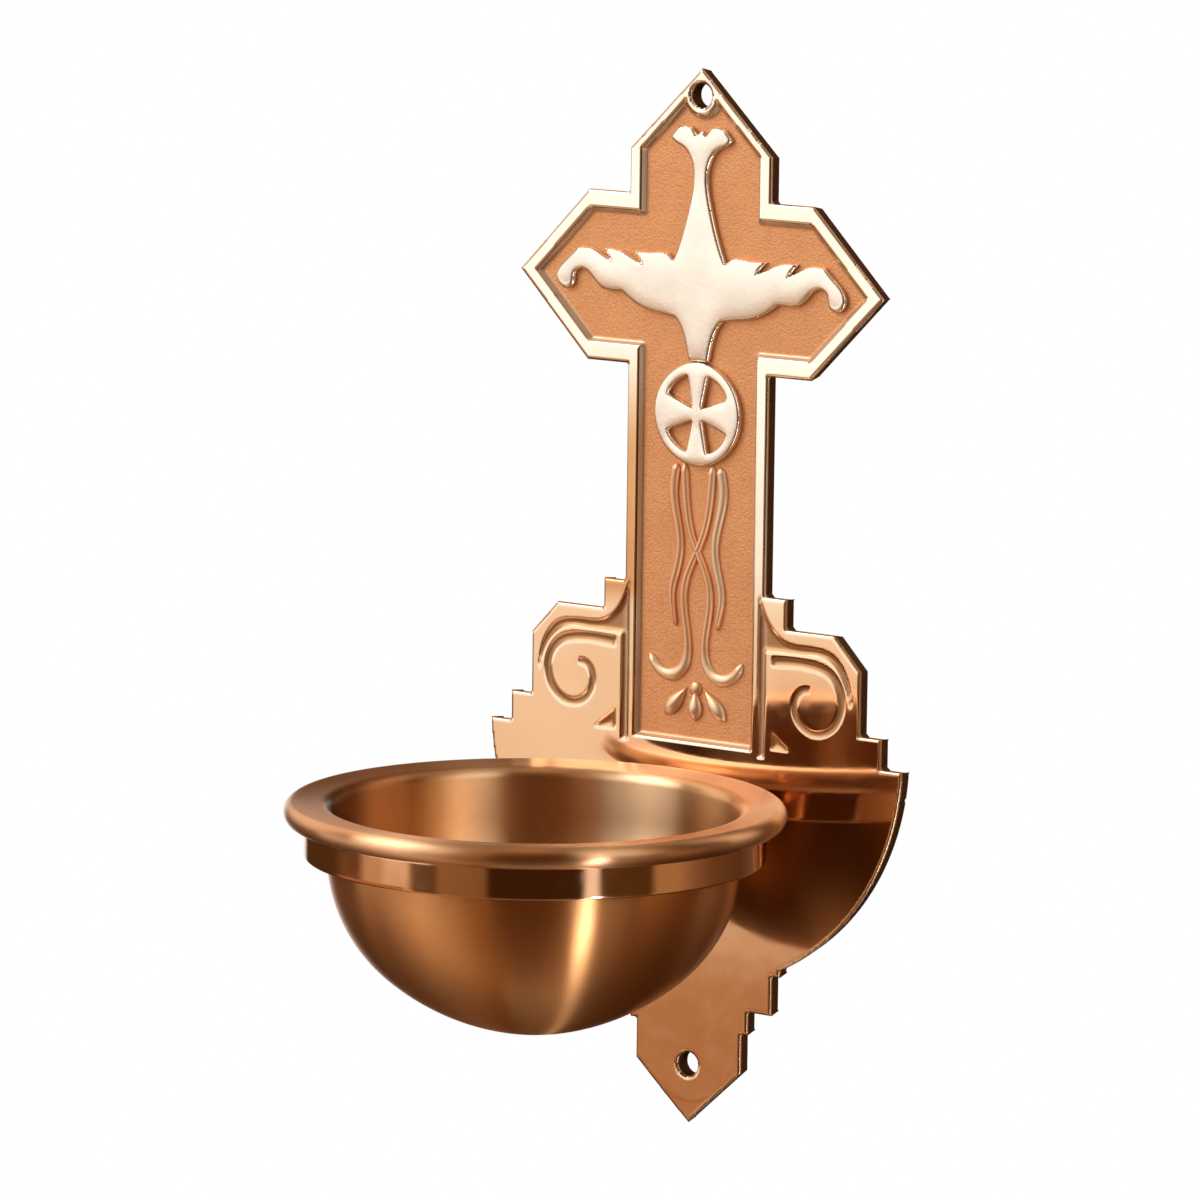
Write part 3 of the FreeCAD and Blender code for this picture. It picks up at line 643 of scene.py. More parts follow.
# Right halves of the plate's outline, above and below that body, and of its sunk field, from top to
# bottom, in millimetres.
OUTLINE_ABOVE = [
    (0.0, 170.0), (28.4, 142.5), (28.4, 127.8), (45.0, 127.8), (73.0, 99.5), (45.0, 71.2),
    (28.4, 71.2), (28.4, -1.0), (37.0, -1.0), (37.0, -11.0), (56.0, -11.0), (66.6, -22.0),
    (66.6, -43.0), (75.0, -43.0), (75.0, -53.0), (83.3, -53.0),
]
OUTLINE_BELOW = [
    (36.5, -127.0), (33.3, -127.0), (33.3, -140.3), (24.0, -140.3), (24.0, -148.0),
    (21.4, -148.0), (21.4, -161.5), (0.0, -181.0),
]
FIELD = [
    (0.0, 165.0), (23.5, 142.3), (23.5, 121.6), (44.0, 121.6), (66.0, 99.5), (44.0, 77.4),
    (23.5, 77.4), (23.5, -52.5), (0.0, -52.5),
]

# The part of the right half that holds the shoulder's hollows: its left side, foot and top, and
# then the widths of the hollows' slopes, in millimetres.
SHOULDER = (24.0, -58.0, 5.0)
GROOVE_SLOPE, FACET_SLOPE = 1.9, 2.2

# The right shoulder's cove, as stretches between its corners, and the triangle under its scroll.
COVE = (
    [(26.0, 1.5), (29.0, -7.0), (36.0, -14.4), (45.5, -15.6)],
    [(45.5, -15.6), (56.0, -17.4), (61.6, -24.2), (63.6, -38.5)],
    [(63.6, -38.5), (60.4, -27.4), (53.5, -19.8), (44.0, -19.2)],
    [(44.0, -19.2), (29.4, -19.2)],
    [(29.4, -19.2), (29.4, -55.0)],
    [(29.4, -55.0), (26.0, -55.0)],
    [(26.0, -55.0), (26.0, 1.5)],
)
FACET = [(31.2, -44.0), (40.5, -51.6), (31.2, -51.6)]

# The right shoulder's scroll, in millimetres: the middle of its spiral, where it starts beside the
# shaft, its width at both ends, and the spiral's radius by how far it has turned.
SCROLL_MIDDLE = (49.2, -34.3)
SCROLL_START = 31.4
SCROLL_WIDTHS = (3.9, 2.6)
SCROLL = (
    (0.0, 12.2), (0.08, 11.7), (0.17, 10.8), (0.25, 10.1), (0.37, 9.9), (0.5, 9.9), (0.62, 9.3),
    (0.75, 8.2), (0.84, 6.8), (0.92, 5.0),
)

# The plate's lower point falls back below an arch: the arch's middle, its rise at the point's half
# width, that half width, the slope under it and the height below which all this holds.
POINT_ARCH, POINT_RISE, POINT_HALF, POINT_SLOPE, POINT_TOP = -173.5, 12.5, 21.4, 0.07, -155.0

# Backs of the rivets and of the two bracket screws: across, up and radius, in millimetres.
BACK_HOLES = (
    (0.0, 118.0, 1.0), (0.0, 84.0, 1.0), (34.0, 100.0, 1.0), (-34.0, 100.0, 1.0),
    (15.2, 56.5, 1.0), (-15.2, 56.5, 1.0), (0.0, 10.8, 1.0), (10.4, -31.0, 1.0),
    (-10.4, -31.0, 1.0), (0.0, -40.4, 1.0), (8.0, -72.5, 3.9), (-8.0, -72.5, 3.9),
)
BLIND_BORE = 2.6 * MM


def scroll_outline():
    """The right shoulder's spiral groove: a band whose edges keep half its width from its spine.

    The spine starts beside the shaft, runs level to the top of the spiral and winds in clockwise.
    Its width shrinks evenly along it.
    """
    turned_by, reach = np.array(SCROLL).T
    turn = math.pi / 2 - 2 * math.pi * turned_by
    spiral = np.array(SCROLL_MIDDLE) + np.stack([reach * np.cos(turn), reach * np.sin(turn)], 1)
    spine = spline(np.vstack([[SCROLL_START, spiral[0, 1]], spiral]), 90) * MM
    half = np.linspace(*SCROLL_WIDTHS, len(spine))[:, None] / 2 * MM
    side = left_of(np.gradient(spine, axis=0)) * half
    return np.vstack([spine + side, (spine - side)[::-1]])


def grid_lines(keys, pitch):
    """Places of grid lines: one at each key, and even steps of about the pitch between them."""
    keys = np.unique(np.round(keys, 6))
    parts = [
        np.linspace(start, end, max(1, round((end - start) / pitch)) + 1)[:-1]
        for start, end in zip(keys, keys[1:])
    ]
    return np.concatenate([*parts, keys[-1:]])


def rounded(gap, radius):
    """How far a rounded edge has dropped at a distance in from it: a quarter circle."""
    return radius * (1 - np.sqrt(1 - (1 - np.clip(gap / radius, 0, 1)) ** 2))


def eased(gap, width):
    """A smooth step from 0 to 1 over a width."""
    share = np.clip(gap / width, 0, 1)
    return share**2 * (3 - 2 * share)


def plate_front(size):
    """The plate's front: a grid of heights inside the outline, bored by the two wall holes.

    The height is the polished face, less the quarter round of the outer edge, less the field's
    rounded edge and sloped wall, less the smooth hollows of the coves, the scroll grooves and the
    triangles, and less a slight fall towards the lower point. All of it is worked out on the right
    half, at the size of the distance across. Grid points near the outline or the field's edge are
    moved onto it.
    """
    above, below, field = (np.array(run) * MM for run in (OUTLINE_ABOVE, OUTLINE_BELOW, FIELD))
    start, end = (
        -math.degrees(math.acos(x / BODY_RADIUS)) for x, _ in (OUTLINE_ABOVE[-1], OUTLINE_BELOW[0])
    )
    body = arc((0, BODY_RISE * MM), BODY_RADIUS * MM, start, end, 60)
    bores = [
        arc((0, rise), size.hole_radius, 90, -90, 25) for rise in (size.hole_rise, -size.hole_rise)
    ]
    eye = arc((0, size.hole_rise), size.eye_radius, 90, -90, 25)
    corners = np.vstack([above, body[:1], body[-1:], below, field])
    across = grid_lines(np.concatenate([-corners[:, 0], corners[:, 0]]), size.pitch)
    up = grid_lines(corners[:, 1], size.pitch)
    shape = (len(across), len(up))
    spots = np.stack(np.meshgrid(across, up, indexing="ij"), -1).reshape(-1, 2)
    sign = np.where(spots[:, :1] < 0, [[-1.0, 1.0]], [[1.0, 1.0]])
    folded = spots * sign

    edge, on_edge = inside_by(folded, [np.vstack([above, body, below]), *bores])
    in_field, on_field = inside_by(folded, [field])
    in_eye, on_eye = inside_by(folded, [eye])
    on_field = np.where((in_field < -in_eye)[:, None], on_field, on_eye)
    in_field = np.minimum(in_field, -in_eye)
    at_edge = np.abs(edge) < 0.5 * size.pitch
    at_field = (np.abs(in_field) < 0.5 * size.pitch) & ~at_edge
    folded = np.where(at_edge[:, None], on_edge, np.where(at_field[:, None], on_field, folded))
    edge = np.where(at_edge, 0, edge)
    in_field = np.where(at_field, 0, in_field)

    drop = rounded(edge, size.edge)
    drop = np.maximum(drop, rounded(-in_field, size.field_edge) * (in_field <= 0))
    slope = (FLOOR - FRONT - size.field_edge) * eased(in_field, size.field_wall)
    drop = np.where(in_field > 0, size.field_edge + slope, drop)
    side, foot, top = (limit * MM for limit in SHOULDER)
    near = (folded[:, 0] > side) & (folded[:, 1] > foot) & (folded[:, 1] < top)
    hollows = (
        (joined([np.array(run) * MM for run in COVE]), size.cove, GROOVE_SLOPE),
        (scroll_outline(), size.scroll, GROOVE_SLOPE),
        (np.array(FACET) * MM, size.facet, FACET_SLOPE),
    )
    for loop, sunk, width in hollows:
        inside, _ = inside_by(folded[near], [closed(loop)])
        drop[near] = np.maximum(drop[near], sunk * eased(inside, width * MM))
    arch = POINT_ARCH * MM + (folded[:, 0] / (POINT_HALF * MM)) ** 2 * POINT_RISE * MM
    below_arch = np.clip(arch - folded[:, 1], 0, None) * (folded[:, 1] < POINT_TOP * MM)
    height = size.thickness - (drop + POINT_SLOPE * below_arch)
    flat = folded * sign
    whole, halves, rim = cells_of((edge > 0) | at_edge, shape)
    return np.column_stack([flat[:, 0], -height, flat[:, 1]]), whole, halves, rim


def plate_back(size, front, start, end):
    """The front's points on the rim, and where each comes out on the wall.

    A point moves in along the sum of the normals of its two sides, scaled so that both sides come
    in by the draft, and less far at a sharp corner. The wall holes go straight through.
    """
    corner_limit, hole_reach = 0.8, 1.1
    edges = np.unique(start)
    inward = left_of((front[end] - front[start])[:, [0, 2]])
    turn = np.zeros((len(front), 2))
    np.add.at(turn, start, inward)
    np.add.at(turn, end, inward)
    turn = turn[edges]
    turn *= size.draft * np.minimum(2 / (turn**2).sum(1), corner_limit)[:, None]
    back = front[edges] * [1, 0, 1]
    from_hole = np.hypot(back[:, 0], np.abs(back[:, 2]) - size.hole_rise)
    back[:, [0, 2]] += turn * (from_hole >= hole_reach * size.hole_radius)[:, None]
    return edges, back


class STOUP_OT_plate(bpy.types.Operator):
    """Model the wall plate: stepped cross, polished border, stippled field, carved shoulders"""

    bl_idname = "stoup.cast_plate"
    bl_label = "Cast the wall plate"

    def execute(self, context):
        """Work the front on a grid, and close it with sides and a drilled back."""
        size = context.scene.stoup_plate
        points, whole, halves, rim = plate_front(size)
        used, number = renumbered(len(points), whole, halves)
        front = points[used]
        start, end = number[rim].T
        edges, back = plate_back(size, front, start, end)
        behind = np.full(len(front), -1)
        behind[edges] = len(front) + np.arange(len(edges))
        sides = np.stack([end, start, behind[start], behind[end]], 1)
        groups = number[whole], number[halves], sides
        mesh = shaped("cast_plate", np.vstack([front, back]), *groups)
        self.close_back(mesh)
        material = metal("plate_bronze", self.finish)
        finished(mesh, "wall_side", material, "wall_plate")
        return {"FINISHED"}

    def close_back(self, mesh):
        """Fill the back between the outline, the wall holes and a blind bore for each fastener."""
        work = bmesh.new()
        work.from_mesh(mesh)
        for x, z, radius in BACK_HOLES:
            place = Matrix.Translation((x * MM, 0, z * MM)) @ Matrix.Rotation(math.pi / 2, 4, "X")
            rings = [
                bmesh.ops.create_circle(
                    work, segments=48 if radius > 2 else 24, radius=radius * MM,
                    matrix=Matrix.Translation((0, -sunk, 0)) @ place, cap_ends=sunk > 0,
                )["verts"]
                for sunk in (0, BLIND_BORE)
            ]
            sides = {side for ring in rings for corner in ring for side in corner.link_edges}
            bmesh.ops.bridge_loops(work, edges=list(sides))
        rims = [side for side in work.edges if side.is_boundary]
        bmesh.ops.triangle_fill(work, edges=rims, use_beauty=True, normal=(0, 1, 0))
        bmesh.ops.triangulate(work, faces=[face for face in work.faces if len(face.verts) > 4])
        work.to_mesh(mesh)
        work.free()

    def finish(self, recipe):
        """Buffed on top with painted reflections, patinated in the hollows with painted shade,
        stippled in the field and as cast all round with painted shade.
        """
        tones = shades()
        place = recipe.place()
        across, depth, up = recipe.millimetres(place)
        _, ahead, _ = recipe.axes(recipe.facing())
        in_field = depth.band(-4.0, -3.85, -3.75, -3.6) * ahead.fall(-0.9, -0.7)
        sideways = ahead.step(-0.6, -0.35)
        carved = abs(across).step(28.0, 30.0) * up.band(-57.0, -55.0, 2.0, 4.0)
        carved = carved * depth.step(-5.79, -5.5)
        hollow_patina_and_shade = depth.step(-5.74, -5.1)
        hollow_patina_and_shade = hollow_patina_and_shade + carved * (1 - hollow_patina_and_shade)

        # Painted reflections on the polished face: lighter on the head and the upper right, darker
        # on the left, the tail and the lower right shoulder.
        head = up.step(40.0, 80.0)
        right = across.step(8.0, 22.0) * up.step(-16.0, 6.0)
        left = across.fall(-26.0, -18.0) * (1 - head) * up.step(-12.0, -2.0)
        tail = up.fall(-138.0, -106.0) * up.step(-172.0, -140.0, 0.6, 1.0)
        shoulder = across.step(26.0, 38.0) * up.band(-62.0, -54.0, -34.0, -18.0)
        clouds = recipe.noise(place, 22.0)
        plain = recipe.mix(head + right * (1 - head), tones.polished, tones.bright)
        plain = recipe.mix(left * 0.95 + tail * 0.62 + shoulder * 0.45, plain, tones.tarnish_and_painted_shade)
        plain = recipe.mix(clouds.step(0.3, 0.75, 0.0, 0.12), plain, tones.tarnish_and_painted_shade)
        # Patina in the hollows and on the carved shoulders, deepened as painted shade.
        plain = recipe.mix(hollow_patina_and_shade * 0.5 + carved * 0.4, plain, tint(tones.patina, 0.8))

        cells = {"Vector": place, "Scale": 1300.0}
        grain = recipe.add("ShaderNodeTexVoronoi", {"feature": "F1"}, cells)
        pits = recipe.noise(place, 1900.0, detail=2.0)
        blotches = recipe.noise(place, 70.0, detail=4.0)
        speckle = (grain * 0.5 + pits * 0.5 + blotches * 0.6).step(0.4, 1.1)
        matt = recipe.mix(speckle, tint(tones.stippled, 1.06), tint(tones.stippled, 0.86))
        shade = recipe.mix(in_field, plain, matt)
        # The sides take the dark unpolished colour, deepened as painted shade so that they read as
        # a dark edge.
        shade = recipe.mix(sideways, shade, tones.cast)
        gloss = recipe.noise(place, 160.0, detail=4.0).step(0.35, 0.8, 0.06, 0.11)
        roughness = gloss + hollow_patina_and_shade * 0.4 + in_field * 0.14 + sideways * 0.15
        wavy = recipe.bump(recipe.noise(place, 60.0, detail=1.0), 0.05, 0.0006)
        normal = recipe.bump((1 - grain) * in_field, 0.3, 0.0003, wavy)
        return shade, roughness, normal


class STOUP_OT_fittings(bpy.types.Operator):
    """Finish the bracket, the screws and the rivets"""

    bl_idname = "stoup.finish_fittings"
    bl_label = "Finish the fittings"

    def execute(self, context):
        """Give each small construction mesh its material."""
        tones = shades()
        screw = metal("screw_brass", buffed(tones.screw, 0.2))
        finishes = {
            "ring_bracket": metal("bracket_bronze", buffed(tones.polished, 0.18)),
            "relief_rivets": metal("rivet_bronze", buffed(tones.cast, 0.35)),
            "bracket_screws": screw,
            "ring_screw": screw,
        }
        for name, material in finishes.items():
            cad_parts[name].material_slots[0].material = material
        return {"FINISHED"}


# Radii of the bowl's underside, of the fillet under its lip, of the lip's roll, of the slight dome
# on it and of its turn into the mouth, and how far below the lip's top that turn ends.
UNDERSIDE, FILLET, ROLL, LIP_DOME, THROAT, THROAT_END = (
    radius * MM for radius in (79.2, 1.2, 3.8, 60.0, 3.9, 4.5)
)
BOWL_MIDDLE = 70.0 * MM  # below the origin


def bowl_section(size):
    """The bowl's section from the middle of its foot, out and up, over the lip and back inside.

    Arcs join the foot, the hip and the upright wall. A fillet leads out under the lip, which is a
    roll with a slightly domed top that turns down into the mouth. The inside runs back along the
    outside's arcs, one wall further in.
    """
    inset = size.radius - size.hip_radius
    side = (inset**2 + (size.hip - size.equator) ** 2) / inset / 2
    edge = size.lip_radius - ROLL + math.sqrt(ROLL**2 - (size.seat - size.crest) ** 2 / 4)
    inner = size.radius - size.wall
    inner_hip = (
        size.hip_radius - size.wall * (side - inset) / side,
        -size.hip + size.wall * (size.hip - size.equator) / side,
    )
    flat_from, flat_to = edge - 0.6 * MM, edge - 0.4 * MM
    hip = (size.hip_radius, -size.hip)
    mouth = (size.mouth_radius, -size.crest - size.wall / 2)
    floor = -size.foot + size.wall
    rows = [
        np.stack([np.linspace(0, size.foot_radius, 6)[:-1], np.full(5, -size.foot)], 1),
        between((size.foot_radius, -size.foot), hip, UNDERSIDE, -1, 30)[:-1],
        between(hip, (size.radius, -size.equator), side, -1, 36)[:-1],
        [(size.radius, -size.equator)],
        arc((size.radius + FILLET, -size.seat - FILLET), FILLET, 180, 90, 6),
        [(flat_from, -size.seat)],
        between((edge, -size.seat), (edge, -size.crest), ROLL, -1, 22),
        between((flat_to, -size.crest), mouth, LIP_DOME, 1, 8),
        between(mouth, (inner, -size.crest - THROAT_END), THROAT, -1, 12)[1:],
        [(inner, -size.equator)],
        between((inner, -size.equator), inner_hip, side - size.wall, 1, 36)[1:],
        between(inner_hip, (size.foot_radius, floor), UNDERSIDE - size.wall, 1, 30)[1:],
        np.stack([np.linspace(size.foot_radius, 0, 6)[1:], np.full(5, floor)], 1),
    ]
    return np.vstack(rows)


class STOUP_OT_bowl(bpy.types.Operator):
    """Model the spun bowl: flat foot, rounded body, flared mouth and rolled lip"""

    bl_idname = "stoup.spin_bowl"
    bl_label = "Spin the bowl"

    def execute(self, context):
        """Turn the bowl's section and brush it round."""
        section = bowl_section(context.scene.stoup_bowl)
        material = metal("bowl_bronze", self.finish, anisotropic=1.0, anisotropic_rotation=0.25)
        mesh = shaped("spun_bowl", *turned(section))
        finished(mesh, "bowl_body", material, "bowl")
        return {"FINISHED"}

    def finish(self, recipe):
        """Brushed round: satin outside, paler inside and brighter on the lip, with painted shade on
        the outside's back and on the inside's front wall.

        The brush's lines are noise that is drawn out round the axis. The surface counts as outside
        where it faces away from the middle of the bowl.
        """
        tones = shades()
        to_axis = {0: recipe.place(), 1: (0.0, BOWL_AXIS, 0.0)}
        place = recipe.add("ShaderNodeVectorMath", {"operation": "SUBTRACT"}, to_axis)
        across, ahead, up = recipe.millimetres(place)
        radius = across.maths("SQRT", across * across + ahead * ahead)
        turn = across.maths("ARCTAN2", ahead, across)
        drawn_out, fine = 0.35, 2.6
        groove = {0: turn * drawn_out, 1: radius * fine, 2: up * fine}
        lines = recipe.noise(recipe.add("ShaderNodeCombineXYZ", None, groove), 1.0, 3.0, 0.6)
        streaks = lines * 0.6 + recipe.noise(place, 30.0) * 0.4

        to_middle = {0: place, 1: (0.0, 0.0, BOWL_MIDDLE)}
        middle = recipe.add("ShaderNodeVectorMath", {"operation": "ADD"}, to_middle)
        outside = recipe.add(
            "ShaderNodeVectorMath", {"operation": "DOT_PRODUCT"},
            {0: middle, 1: recipe.facing()}, "Value",
        ).step(-2.0 * MM, 2.0 * MM)
        on_lip = radius.step(67.0, 68.4)
        inside = (1 - outside) * (1 - on_lip)
        # Painted shade: the outside towards the wall, and the inside of the front wall, which the
        # plate mirrors.
        behind = outside * (1 - on_lip) * ahead.step(5.0, 45.0)
        front = inside * ahead.fall(-20.0, 2.0)

        shown = recipe.mix(streaks, tint(tones.satin, 1.1), tint(tones.satin, 0.86))
        lining = recipe.mix(streaks, tint(tones.lining, 1.08), tint(tones.lining, 0.9))
        shown = recipe.mix(inside, shown, lining)
        # Painted shade, in the dark unpolished colour, on the back and on the inner front wall.
        shown = recipe.mix(behind * 0.75, shown, tones.cast)
        shown = recipe.mix(front * 0.8, shown, tones.cast)
        shown = recipe.mix(on_lip * 0.7, shown, tones.mirror)
        return shown, 0.26 + lines * 0.08, recipe.bump(lines, 0.10, 0.0002)


class STOUP_OT_ring(bpy.types.Operator):
    """Model the polished ring that carries the bowl"""

    bl_idname = "stoup.turn_ring"
    bl_label = "Turn the ring"

    def execute(self, context):
        """Turn a flat bar section with broken corners."""
        size = context.scene.stoup_bowl
        top, foot = -size.seat, -size.seat - size.ring_height
        inner, outer, corner = size.ring_bore, size.ring_radius, 0.5 * MM
        section = [
            [(inner, foot), (outer - 2 * corner, foot)],
            arc((outer - corner, foot + corner), corner, -90, 0, 6),
            [(outer, foot + 3 * corner), (outer, top - 3 * corner)],
            arc((outer - corner, top - corner), corner, 0, 90, 6),
            [(outer - 2 * corner, top), (inner, top)],
        ]
        mesh = shaped("polished_ring", *turned(np.vstack(section), close=True))
        material = metal("ring_bronze", buffed(shades().mirror, 0.07))
        finished(mesh, "wall_side", material, "support_ring")
        return {"FINISHED"}


# Right half of the descending dove, tail up, in millimetres, as stretches between its cusps.
DOVE = (
    [(0.0, 149.6), (1.9, 148.0)],
    [(1.9, 148.0), (3.6, 150.3), (7.2, 150.9), (9.6, 150.2)],
    [(9.6, 150.2), (12.3, 147.0)],
    [(12.3, 147.0), (10.2, 145.0), (7.0, 143.6), (4.5, 140.8), (3.0, 136.6), (2.9, 132.0),
     (4.0, 126.0), (6.0, 118.6), (8.0, 112.4), (10.4, 106.6)],
    [(10.4, 106.6), (12.2, 108.3), (18.5, 108.6), (26.6, 108.5)],
    [(26.6, 108.5), (24.6, 106.4), (22.8, 104.4)],
    [(22.8, 104.4), (27.0, 106.2), (32.0, 108.2), (38.8, 108.5)],
    [(38.8, 108.5), (37.2, 106.6), (35.2, 104.4)],
    [(35.2, 104.4), (39.6, 106.6), (43.4, 108.2), (49.6, 108.2)],
    [(49.6, 108.2), (53.6, 104.4), (57.4, 100.4), (58.0, 97.2), (55.8, 94.4), (53.0, 94.2),
     (51.0, 96.4), (50.6, 99.4), (48.0, 101.0), (44.6, 99.6), (41.6, 96.6), (39.4, 95.0)],
    [(39.4, 95.0), (35.6, 94.6), (31.4, 94.8)],
    [(31.4, 94.8), (27.4, 92.0), (22.0, 89.6), (14.6, 88.4), (9.4, 87.6)],
    [(9.4, 87.6), (7.0, 84.2), (5.3, 79.6), (4.0, 73.9)],
)


class STOUP_OT_dove(bpy.types.Operator):
    """Model the descending dove"""

    bl_idname = "stoup.model_dove"
    bl_label = "Model the dove"

    def execute(self, context):
        """Emboss the dove's outline."""
        size = context.scene.stoup_relief
        right = [np.array(stretch) * MM for stretch in DOVE]
        left = [stretch[::-1] * [-1, 1] for stretch in reversed(right)]
        outline = joined([*right, [right[-1][-1], left[0][0]], *left])
        dome = (0.3 * MM, 3.2 * MM)
        rounding = (size.height - size.edge - dome[0], 0.7 * MM)
        relief = embossed([outline], size.pitch, size.edge, rounding, dome)
        material = metal("relief_bronze", raised(shades().relief, shades().patina))
        finished(shaped("dove", *relief), "wall_side", material, "dove_relief")
        return {"FINISHED"}


# One opening of the ring cross: its inmost corner, in millimetres, and the angles of its arc.
OPENING_CORNER = (1.9, 2.1)
OPENING_ARC = (27, 72)


class STOUP_OT_ring_cross(bpy.types.Operator):
    """Model the cross in its ring"""

    bl_idname = "stoup.model_ring_cross"
    bl_label = "Model the ring cross"

    def execute(self, context):
        """Emboss a disc with four openings."""
        size = context.scene.stoup_relief
        rise = size.wheel_rise
        corner = np.array([OPENING_CORNER]) * MM + [0, rise]
        opening = np.vstack([corner, arc((0, rise), size.wheel_inner, *OPENING_ARC, 24)])
        loops = [arc((0, rise), size.wheel_radius, 0, 360, 181)[:-1]]
        for across in (1, -1):
            for up in (1, -1):
                loops.append(opening * [across, up] + [0, rise * (1 - up)])
        fine_pitch, dome = 0.3 * MM, (0.2 * MM, 1.6 * MM)
        rounding = (size.height - size.edge - dome[0], 0.5 * MM)
        relief = embossed(loops, fine_pitch, size.edge, rounding, dome)
        material = metal("ring_cross_bronze", raised(shades().relief, shades().patina))
        mesh = shaped("ring_cross", *relief)
        finished(mesh, "wall_side", material, "ring_cross_relief")
        return {"FINISHED"}


# Two strands of ribbon, in millimetres, from the ring cross down, each with a mirror image: the
# spine, and the widths at even steps along it.
STRANDS = (
    (
        [
            (5.6, 40.2), (5.2, 33.0), (4.2, 24.0), (2.0, 15.6), (-1.4, 8.4), (-4.6, 0.6),
            (-5.2, -7.0), (-4.0, -15.0), (-3.4, -22.0), (-5.4, -28.4), (-10.4, -31.0),
            (-15.6, -28.9), (-18.8, -24.4),
        ],
        (3.2, 3.0, 2.6, 2.8, 3.0, 3.2, 4.4, 3.0),
    ),
    (
        [
            (8.6, 39.6), (10.0, 31.0), (8.6, 22.0), (7.0, 13.0), (8.4, 4.0), (10.0, -3.0),
            (9.4, -9.4), (8.2, -14.6),
        ],
        (3.6, 3.8, 3.4, 3.2, 3.2, 2.6, 1.6),
    ),
)
STRAND_HEIGHT = 1.6 * MM


class STOUP_OT_ribbons(bpy.types.Operator):
    """Model the four wavy ribbons"""

    bl_idname = "stoup.model_ribbons"
    bl_label = "Model the ribbons"

    def execute(self, context):
        """Carry a rounded section along each strand, tapered at both ends."""
        parts = []
        for points, widths in STRANDS:
            spine = spline(np.array(points) * MM, 140)
            share = np.linspace(0, 1, len(spine))
            taper = np.sqrt(np.clip(np.minimum(share, 1 - share) / 0.03, 0.03, 1))
            width = np.interp(share, np.linspace(0, 1, len(widths)), widths) * taper * MM
            band = banded(spine, width, STRAND_HEIGHT * taper)
            parts += [band, mirrored(band)]

        def bright(across, up):
            """The upper part of the outer strand on the right, with a painted highlight that its
            mirror image lacks, and the curls at the foot.
            """
            return across.step(4.6, 7.0) * up.step(-14.0, -2.0) + up.fall(-26.0, -21.0)

        tones = shades()
        # The other strands take the darker tone as painted shade; the outer strand on the right
        # keeps a painted highlight.
        look = raised(tones.cream, tones.patina, -4.7, 0.48, tones.darker_relief, bright)
        material = metal("ribbon_bronze", look)
        mesh = shaped("ribbons", *gathered(parts))
        finished(mesh, "wall_side", material, "ribbon_relief")
        return {"FINISHED"}


# The petals of the palmette and its collar, in millimetres: start, end and greatest width.
PETALS = (
    ((0.0, -35.0), (0.0, -45.6), 5.8),
    ((3.4, -34.6), (12.2, -44.6), 5.4),
    ((-3.4, -34.6), (-12.2, -44.6), 5.4),
)
COLLAR = ((0.0, -32.2), (0.0, -37.4), 5.0)


class STOUP_OT_palmette(bpy.types.Operator):
    """Model the three hanging petals and their collar"""

    bl_idname = "stoup.model_palmette"
    bl_label = "Model the palmette"

    def execute(self, context):
        """Carry a rounded section down each petal, widest near its foot, and down the collar."""
        size = context.scene.stoup_relief
        share = np.linspace(0, 1, 40)
        petal = np.maximum(np.sin(math.pi * share**1.4) ** 0.7, 0.04)
        collar = np.maximum(np.sqrt(1 - (2 * share - 1) ** 2), 0.05)
        shapes = [(line, petal, size.height * 0.95 * petal**0.7) for line in PETALS]
        shapes.append((COLLAR, collar, size.height * 0.6 * collar))
        parts = []
        for (start, end, width), swell, height in shapes:
            start, end = np.array([start, end]) * MM
            spine = start + (end - start) * share[:, None]
            parts.append(banded(spine, width * MM * swell, height))

        def bright(_, up):
            """The lower part of the petals."""
            return up.fall(-39.5, -36.0)

        tones = shades()
        look = raised(tones.cream, tones.patina, -5.0, 0.42, tones.darker_relief, bright)
        material = metal("palmette_bronze", look)
        mesh = shaped("palmette", *gathered(parts))
        finished(mesh, "wall_side", material, "palmette_relief")
        return {"FINISHED"}


# ------------------------------------------------------------------ stage


def lamp(name, place, aim, power, width, height):
    """A plain area lamp that faces a point."""
    light = bpy.data.lights.new(name, "AREA")
    light.shape = "RECTANGLE"
    light.size = width
    light.size_y = height
    light.energy = power
    made = bpy.data.objects.new(name, light)
    made.location = place
    made.rotation_mode = "QUATERNION"
    made.rotation_quaternion = (Vector(aim) - Vector(place)).to_track_quat("-Z", "Y")
    bpy.context.scene.collection.objects.link(made)


# The room's colour round the object, each row an angle in degrees to the right of straight ahead
# and a colour: near the horizon, well above it and well below it.
ROOM_LEVEL = (
    (-180, 0.20, 0.11, 0.06), (-166, 0.20, 0.11, 0.06), (-160, 1.0, 1.0, 1.0),
    (-128, 1.0, 1.0, 1.0), (-120, 0.08, 0.035, 0.012), (-61, 0.10, 0.045, 0.016),
    (-56, 0.66, 0.45, 0.29), (-29, 0.66, 0.45, 0.29), (-26, 0.15, 0.08, 0.04),
    (-14, 0.15, 0.08, 0.04), (-11, 0.31, 0.17, 0.08), (11, 0.26, 0.14, 0.065),
    (15, 0.05, 0.018, 0.005), (60, 0.05, 0.018, 0.005), (62.5, 1.10, 1.00, 0.90),
    (67.5, 1.10, 1.00, 0.90), (70, 0.10, 0.045, 0.013), (96, 0.10, 0.045, 0.013),
    (100, 0.44, 0.26, 0.13), (112, 0.44, 0.26, 0.13), (122, 0.28, 0.15, 0.077),
    (136, 0.17, 0.08, 0.035), (160, 0.12, 0.055, 0.022), (180, 0.20, 0.11, 0.06),
)
